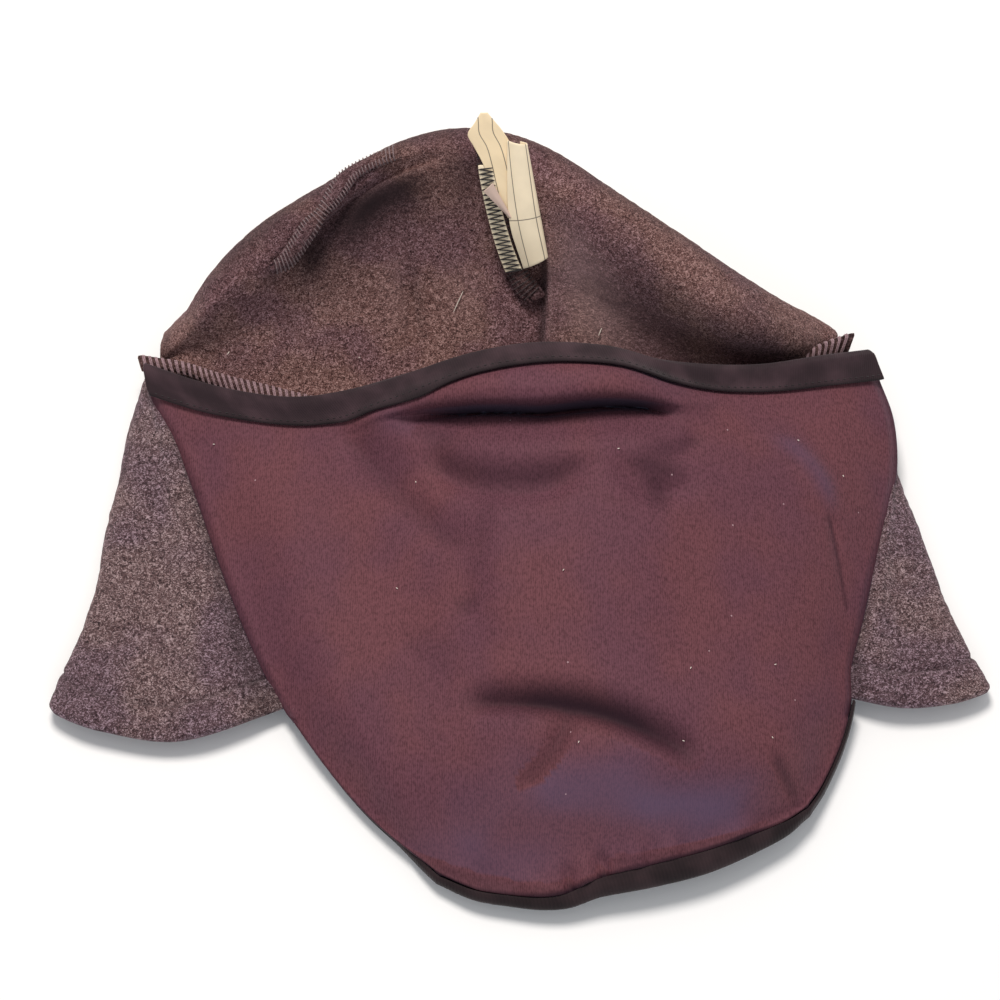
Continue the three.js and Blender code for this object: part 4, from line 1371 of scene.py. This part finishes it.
@dataclass
class Piece:
    """A finished piece, the slot of its finish and the CAD nodes it stands for.

    Attributes:
        shape: the object.
        slot: the record's slot of its finish; not used.
        replaces: the CAD nodes it stands for.
    """

    shape: Object
    slot: Slot
    replaces: tuple[str, ...] = ()

    def settle(self) -> Object:
        """Rides on the hood's one body and hides the nodes it stands for."""
        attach(self.shape, "root")
        if self.replaces:
            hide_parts(*self.replaces)
        LOG.info("%s: %d faces", self.shape.name, len(self.shape.data.polygons))
        return self.shape


def pleat_at(u: Array, v: Array) -> tuple[Array, Array]:
    """How far a point of the crown lies beyond the pleat's line, and how strong the pleat is there."""
    return u - line_at(PLEAT_LINE, v), window(v, 0.03, 0.12, 0.22, 0.28)


def crown_folds(u: Array, v: Array, spot: Array) -> Array:
    """How far the crown's cloth is moved along its normal by folds and waves, in millimetres."""
    inside = window(v, 0.02, 0.10, 0.40, 0.50)
    across, strength = pleat_at(u, v)
    pleat = 2.6 * smooth(-0.0025, 0.0025, across) * np.exp(-np.maximum(across, 0) / 0.08)
    beside = -1.4 * hump(across + 0.012, 0.014)
    hollow = -5.0 * window(u, 0.21, 0.26, 0.43, 0.50) * hump(v - line_at(HOLLOW_LINE, u), 0.028)
    filled = 5.0 * hump(v - 0.27, 0.10) * window(u, 0.58, 0.68, 0.90, 0.97)
    waves = 1.3 * NAP.at(spot, 36.0) + 0.5 * NAP.at(spot, 15.0)
    return inside * (strength * (pleat + beside) + hollow + patches(CROWN_LUMPS, u, v) + filled + waves)


def crown_painted_shade_and_light(u: Array, v: Array) -> Array:
    """Painted shade, below 0, and painted light on the crown's inside, with a painted line of shade and
    highlight along the pleat and painted shade along the nape seam.
    """
    across, strength = pleat_at(u, v)
    # Painted highlight on the pleat's raised edge and painted shade beside it, then painted shade along the
    # nape seam
    pleat = strength * (0.3 * hump(across - 0.004, 0.003) - 0.7 * hump(across + 0.004, 0.006))
    seam = -0.5 * (1 - smooth(0, 0.035, v))
    return (patches(CROWN_PAINTED_SHADE_AND_LIGHT, u, v) + pleat + seam) * (v < PAINTED_LIGHT_END)


def crown_at_rest(u: Array, v: Array) -> Array:
    """The crown's middle surface with its folds."""
    middle = crown_at(u, v)
    return middle + normal_at(crown_at, u, v, 0.01) * crown_folds(u, v, middle)[:, None]


@dataclass(frozen=True)
class Overlock:
    """An overlocked allowance: a strip of fleece with loops of thread wrapped round it.

    Attributes:
        name: the CAD node it stands for.
        surface: its middle, s along it and t from its root line to its free edge.
        count: grid columns along it.
        pitch: distance of the stitches.
        pair: distance of the two threads of a stitch, 0 for single threads.
        lean: how far a loop leans along the strip, as a share of its width.
        thread: radius of the thread.
        tone: painted shade of the fleece.
    """

    name: str
    surface: Surface
    count: int
    pitch: float
    pair: float
    lean: float
    thread: float
    tone: float

    def stations(self) -> Array:
        """Where the loops sit along the strip."""
        fine = np.linspace(0, 1, 400)
        run = run_along(self.surface(fine, np.full_like(fine, 0.5)))
        margin = 0.9
        firsts = np.arange(margin, run[-1] - margin - self.pair, self.pitch)
        places = np.concatenate([firsts, firsts + self.pair]) if self.pair else firsts
        return np.interp(places, run, fine)

    def build(self, fleece: Material, thread: Material) -> list[Piece]:
        """Makes the strip and its loops."""
        rows = 15
        shape = (rows, self.count)
        s, t = grid(*steps(shape))
        middle = self.surface(s, t)
        ends = np.minimum(s, 1 - s) * self.count / rows
        rounded = 0.35 - 0.9 * (2 * t - 1) ** 4 - 0.7 * (1 - smooth(0, 1.2, ends))
        nap = 0.2 * NAP.at(middle, 1.5) + rounded
        strip = Cloth.woven(shape, middle, STRIP_THICKNESS, nap, nap, self.tone, 6)
        stops = self.stations()
        ahead, behind, roots, edges = (
            self.surface(np.clip(stops + shift, 0, 1), np.full_like(stops, across))
            for shift, across in ((0.01, 0.5), (-0.01, 0.5), (0, 0.04), (0, 1))
        )
        loops = wrap_threads(
            f"{self.name}_threads", roots, edges, unit(ahead - behind), STRIP_THICKNESS / 2 + 0.28,
            self.lean, self.thread, thread,
        )
        return [
            Piece(strip.build(f"{self.name}_fleece", fleece), Slot.FLEECE, (self.name,)),
            Piece(loops, Slot.FLEECE),
        ]


@dataclass
class Crown:
    """Crown of fleece, with its nape seam, darts and label.

    Attributes:
        columns: grid columns along the seam.
        rows: grid rows up, over and under.
    """

    finishes: Finishes
    columns: int = 296
    rows: int = 160

    def cloth(self) -> Piece:
        """The crown's fleece."""
        us = evenly(crown_at, "u", 0.30, self.columns)
        weights = ((0, 1.5), (RIDGE, 1.5), (0.56, 0.8), (0.74, 0.8), (0.8, 0.35), (1, 0.35))
        vs = evenly(crown_at, "v", 0.5, self.rows, weights)
        u, v = grid(us, vs)
        middle = crown_at(u, v)
        folds = crown_folds(u, v, middle)
        nap = 0.14 * NAP.at(middle, 2.4) + 0.12 * NAP.at(middle, 1.4)
        behind = 0.2 * NAP.at(middle, 2.2) * (v < 0.60)
        shape = (self.rows, self.columns)
        sheet = Cloth.woven(shape, middle, FLEECE, folds + nap, behind - folds, crown_painted_shade_and_light(u, v))
        return Piece(sheet.build("crown_fleece", self.finishes.inside), Slot.FLEECE, ("crown",))

    def strips(self) -> list[Piece]:
        """The nape seam and both darts."""
        threads = self.finishes
        # The last number of each strip is painted shade on its fleece
        strips = (
            (Overlock("nape_seam", nape_seam_at, 360, 2.3, 0.55, 0.10, 0.33, -0.6), threads.thread),
            (Overlock("dart_left", left_dart_at, 130, 1.4, 0, 0.40, 0.27, -0.45), threads.dull_thread),
            (Overlock("dart_centre", centre_dart_at, 130, 1.6, 0, 0.30, 0.22, -0.5), threads.brown_thread),
        )
        return [piece for strip, thread in strips for piece in strip.build(self.finishes.inside, thread)]

    def sewn_edge(self) -> list[Piece]:
        """The label's sewn-in edge over the centre dart, and the dark zigzag that holds it."""
        def surface(s: Array, t: Array) -> Array:
            """Middle of the sewn edge, s along the dart and t across it."""
            at = mix(0.24, 0.815, s)
            facing = outward(normal_at(centre_dart_at, at, np.full_like(at, 0.5), 0.02))
            return centre_dart_at(at, mix(0.10, 1.08, t)) + facing * (STRIP_THICKNESS / 2 + 0.9)

        def outward(normal: Array) -> Array:
            """The normals, turned to the side that the label faces."""
            return normal * np.sign(normal @ LABEL_FACING)[:, None]

        shape = (9, 90)
        edge = Cloth.woven(shape, surface(*grid(*steps(shape))), LABEL * 0.8)
        stops = np.linspace(0.02, 0.99, 22)
        starts, ends, back = (
            surface(np.minimum(stops + ahead, 1), np.full_like(stops, t))
            for ahead, t in ((0, -0.06), (0.018, 1.06), (0.045, -0.06))
        )
        up = outward(unit(np.cross(ends - starts, back - starts)))
        up = np.concatenate([up, up])
        lift = up * 0.45
        bars = lay_threads(
            "label_zigzag", np.concatenate([starts, ends]) + lift, np.concatenate([ends, back]) + lift, up,
            0.24, 0.15, self.finishes.dark_thread,
        )
        return [
            Piece(edge.build("label_sewn_edge", self.finishes.label), Slot.LABEL),
            Piece(bars, Slot.LABEL),
        ]

    def leaf(self, name: str, rows: Rows, profile: Rows, finish: Material, *nodes: str) -> Piece:
        """A leaf of the label, which stands for the CAD nodes named."""
        shape = (60, 40)
        t, s = grid(*steps(shape))
        middle = leaf_at(rows, profile, s, t)
        middle += LABEL_FACING * (0.12 * NAP.at(middle, 9.0))[:, None]
        sheet = Cloth.woven(shape, middle, LABEL * 0.6)
        return Piece(sheet.build(name, finish), Slot.LABEL, nodes)

    def lint(self) -> Piece:
        """Specks and fine hairs of lint on the crown's inside."""
        table = np.array(CROWN_LINT)
        at = crown_at_rest(table[:, 0], table[:, 1])
        up = normal_at(crown_at, table[:, 0], table[:, 1], 0.01)
        side = table[:, 2:5]
        start = at + up * 2.0 - side / 2
        specks = lay_threads("crown_lint", start, start + side, up, LINT_RADIUS, 0.3, self.finishes.lint)
        return Piece(specks, Slot.FLEECE)

    def build(self) -> list[Object]:
        """Makes the crown's pieces; the cloth comes first."""
        pieces = [
            self.cloth(),
            *self.strips(),
            *self.sewn_edge(),
            self.leaf("label_front_leaf", LABEL_FRONT, ROLLED_LEAF, self.finishes.ruled, "label_front"),
            self.leaf("label_back_leaf", LABEL_BACK, FLAT_LEAF, self.finishes.ruled_once, "label_back"),
            self.leaf("label_turned_corner", TURNED_CORNER, FLAT_LEAF, self.finishes.worn_label),
            self.lint(),
        ]
        return [piece.settle() for piece in pieces]


@dataclass
class Neck:
    """Neck of fleece, flattened on the floor, with its hem.

    Attributes:
        columns: grid columns round the tube.
        rows: grid rows from nape to hem.
        hem: width of the stitched hem.
    """

    finishes: Finishes
    columns: int = 330
    rows: int = 138
    hem: float = 11.0

    def cloth(self) -> Piece:
        """The neck's fleece."""
        weights = ((0, 1.6), (0.22, 1.6), (0.26, 0.5), (0.74, 0.5), (0.78, 1.6), (1, 1.6))
        us = evenly(neck_at, "u", 0.6, self.columns, weights)
        vs = evenly(neck_at, "v", 0.12, self.rows)
        u, v = grid(us, vs)
        middle = neck_at(u, v)
        shape = (self.rows, self.columns)
        lengths = np.linalg.norm(np.diff(middle.reshape(*shape, 3), axis=0), axis=-1)
        to_hem = np.concatenate([np.cumsum(lengths[::-1], axis=0)[::-1], np.zeros((1, shape[1]))]).ravel()
        strip = 0.5 * (1 - smooth(self.hem - 0.8, self.hem + 1.2, to_hem))
        groove = -0.8 * hump(to_hem - self.hem - 0.4, 1.1)
        seam_share, seam_width, nape_layer_top = 0.08, 11, 3.5
        to_seam = np.minimum(u, 1 - u) / seam_share * seam_width
        rolled = 1.3 * hump(to_seam - 7.5, 3.2) - 0.8 * (1 - smooth(2.5, 4.5, to_seam))
        waves = 0.9 * NAP.at(middle, 30.0) + 0.4 * NAP.at(middle, 13.0)
        nap = 0.22 * NAP.at(middle, 2.8) + 0.16 * NAP.at(middle, 1.7)
        above = middle[:, 2] > nape_layer_top
        relief = nap + strip + groove + np.where(above, rolled + waves, 0)
        relief = np.where(above, relief, np.minimum(relief, 0) * 0.3)
        # Painted shade along the seams under the mask and in the hem's groove
        tone = -0.4 * (1 - smooth(2.6, 5.5, to_seam)) - 0.3 * hump(to_hem - self.hem - 0.4, 0.8)
        sheet = Cloth.woven(shape, middle, FLEECE, relief, 0.0, tone)
        return Piece(sheet.build("neck_fleece", self.finishes.cheek), Slot.FLEECE, ("neck",))

    def build(self) -> list[Object]:
        """Makes the neck's pieces; the cloth comes first."""
        return [self.cloth().settle()]


@dataclass
class Mask:
    """Smooth face mask, with its binding along the top and its facing round the bib.

    Attributes:
        columns: grid columns across.
        rows: grid rows down.
    """

    finishes: Finishes
    columns: int = 310
    rows: int = 146

    def cloth(self) -> Piece:
        """The mask's cloth."""
        us = evenly(mask_at, "u", 0.4, self.columns)
        vs = evenly(mask_at, "v", 0.45, self.rows)
        u, v = grid(us, vs)
        middle = mask_at(u, v)
        side = np.minimum(u, 1 - u)
        middle[:, 2] -= 2.0 * (1 - smooth(0, 0.016, side)) * (v < 0.70)
        x, y = middle[:, 0], middle[:, 1]
        waves = 0.5 * NAP.at(middle, 26.0) * smooth(0, 0.08, side) * smooth(0.06, 0.2, v)
        end = smooth(0.90, 0.96, v)
        crinkled = 1.1 * NAP.at(np.stack([x, y * 0.2, y * 0], axis=-1), 6.0) * smooth(0.05, 0.2, u)
        puckers = (crinkled + added(MASK_PINCHES, x, y)) * end
        moved = below_line(u, v)
        # Painted shade in the crease under the lip, in the folds, along the side edges and at the bib's end
        creased = window(u, 0.37, 0.45, 0.65, 0.73)
        crease_shade = creased * smooth(0.074, 0.100, moved) ** 1.5 * (1 - smooth(0.114, 0.126, moved))
        shade = crease_shade + added(MASK_SHADES, x, y) * (v > 0.09)
        shade += 0.5 * (1 - smooth(0, 0.010, side)) + 0.6 * smooth(0.990, 1.0, v)
        # Painted blue sheen, in patches
        patchy = 0.5 + 0.5 * smooth(0.3, 0.7, 0.5 + 0.5 * NAP.at(middle, 16.0))
        sheen = added(MASK_SHEENS, x, y) * (v > 0.055) * patchy
        tone = np.where(shade > 0.06, -np.minimum(shade, 1), np.minimum(sheen, 1))
        sheet = Cloth.woven((self.rows, self.columns), middle, MASK_CLOTH, 0.0, waves + puckers, tone)
        return Piece(sheet.build("face_mask_cloth", self.finishes.mask), Slot.MASK, ("face_mask",))

    def binding(self) -> Piece:
        """The tape folded over the mask's top edge."""
        shape = (60, 330)
        u, v = grid(evenly(mask_at, "u", 0.0, shape[1]), steps(shape)[1])
        # Painted shade along both edges of the tape
        tone = -0.5 * hump(v, 0.03) - 0.5 * hump(1 - v, 0.03)
        sheet = Cloth.woven(shape, binding_at(u, v), TAPE, 0.0, 0.0, tone)
        return Piece(sheet.build("mask_binding_tape", self.finishes.tape), Slot.BINDING, ("mask_binding",))

    def facing(self) -> Piece:
        """The dark facing rolled round the bib's free edge."""
        shape = (48, 360)
        u, v = grid(evenly(facing_at, "u", 0.34, shape[1]), steps(shape)[1])
        middle = facing_at(u, v)
        tucked = 1 - smooth(0.20, 0.30, u)
        middle -= bib_outward(u) * (2.6 * tucked)[:, None]
        middle[:, 2] = np.maximum(middle[:, 2] - 1.8 * tucked, FACING / 2 + 0.2)
        sheet = Cloth.woven(shape, middle, FACING)
        return Piece(sheet.build("bib_facing_cloth", self.finishes.facing), Slot.BINDING, ("bib_facing",))

    def stitches(self) -> Piece:
        """The row of stitches near the binding's lower edge."""
        stops = evenly(mask_at, "u", 0.0, 221)
        first, last = stops[2:-2:2], mix(stops[2:-2:2], stops[3:-1:2], 0.9)
        row = np.full_like(first, 0.055)
        up = facing_up(binding_at, first, row)
        lift = up * (TAPE / 2 + 0.1)
        threads = lay_threads(
            "binding_stitches", binding_at(first, row) + lift, binding_at(last, row) + lift, up, 0.13, 0.1,
            self.finishes.dark_thread,
        )
        return Piece(threads, Slot.BINDING)

    def lint(self) -> Piece:
        """Specks of lint on the mask."""
        u, v = np.array(MASK_LINT).T
        up = facing_up(mask_at, u, v, 0.01)
        turn = 2.4 * np.arange(len(u))
        side = 0.8 * np.stack([np.cos(turn), np.sin(turn), turn * 0], axis=-1)
        start = mask_at(u, v) + up * (MASK_CLOTH / 2 + 0.4) - side / 2
        specks = lay_threads("mask_lint", start, start + side, up, LINT_RADIUS, 0.1, self.finishes.lint)
        return Piece(specks, Slot.MASK)

    def build(self) -> list[Object]:
        """Makes the mask's pieces; the cloth comes first."""
        pieces = (self.cloth(), self.binding(), self.facing(), self.stitches(), self.lint())
        return [piece.settle() for piece in pieces]


@dataclass(frozen=True)
class SoftLight:
    """An area light: place and aim in millimetres, size in metres, power in watts, colour."""

    name: str
    place: tuple[float, float, float]
    aim: tuple[float, float, float]
    size: float
    power: float
    colour: tuple[float, float, float]

    def build(self) -> None:
        """Hangs the light."""
        lamp = bpy.data.lights.new(self.name, "AREA")
        lamp.shape = "DISK"
        lamp.size = self.size
        lamp.energy = self.power
        lamp.color = self.colour
        holder = bpy.data.objects.new(self.name, lamp)
        holder.location = Vector(self.place) * MM
        towards = (Vector(self.aim) - Vector(self.place)).normalized()
        holder.rotation_euler = towards.to_track_quat("-Z", "Y").to_euler()
        bpy.context.scene.collection.objects.link(holder)


@dataclass
class Studio:
    """Pale floor, soft lights and the camera at the photograph's angle."""

    finishes: Finishes
    target: tuple[float, float, float] = (-6, -5, 25)
    elevation: float = 60.0
    distance: float = 820.0
    view_width: float = 340.0
    ambient: float = 0.42

    def floor(self) -> None:
        """A wide floor at the height that the hood rests on."""
        deselect_all()
        bpy.ops.mesh.primitive_plane_add(size=12, location=(0, 0, 0))
        floor = bpy.context.active_object
        floor.name = "floor"
        floor.data.materials.append(self.finishes.floor)

    def lights(self) -> None:
        """A warm key from behind, a cool fill from the camera's side, and an even sky."""
        middle = (0, 0, 20)
        for light in (
            SoftLight("key_light", (-120, 380, 1200), middle, 0.45, 12.5, (1.0, 0.95, 0.90)),
            SoftLight("fill_light", (150, -1200, 700), middle, 0.9, 3.5, (0.80, 0.88, 1.0)),
        ):
            light.build()
        world = bpy.data.worlds.new("sky")
        bpy.context.scene.world = world
        world.use_nodes = True
        sky = world.node_tree.nodes["Background"]
        sky.inputs["Color"].default_value = (1.0, 1.0, 1.0, 1.0)
        sky.inputs["Strength"].default_value = self.ambient

    def camera(self) -> None:
        """The camera, looking along +Y and down."""
        lens = bpy.data.cameras.new("camera")
        lens.sensor_width = 36.0
        lens.lens = lens.sensor_width * self.distance / self.view_width
        lens.clip_start, lens.clip_end = 0.01, 20.0
        eye = bpy.data.objects.new("camera", lens)
        tilt = math.radians(self.elevation)
        away = Vector((0, -math.cos(tilt), math.sin(tilt))) * self.distance
        eye.location = (Vector(self.target) + away) * MM
        eye.rotation_euler = (math.radians(90 - self.elevation), 0, 0)
        bpy.context.scene.collection.objects.link(eye)
        bpy.context.scene.camera = eye

    def build(self) -> None:
        """Sets up the studio."""
        self.camera()
        self.lights()
        self.floor()
        bpy.context.scene.view_settings.view_transform = "Standard"


def main() -> None:
    """Builds the studio and the hood."""
    logging.basicConfig(level=logging.INFO, format="%(name)s %(message)s")
    finishes = Finishes()
    Studio(finishes).build()
    crown, *on_crown = Crown(finishes).build()
    neck, *on_neck = Neck(finishes).build()
    mask, *on_mask = Mask(finishes).build()


if __name__ == "__main__":
    main()
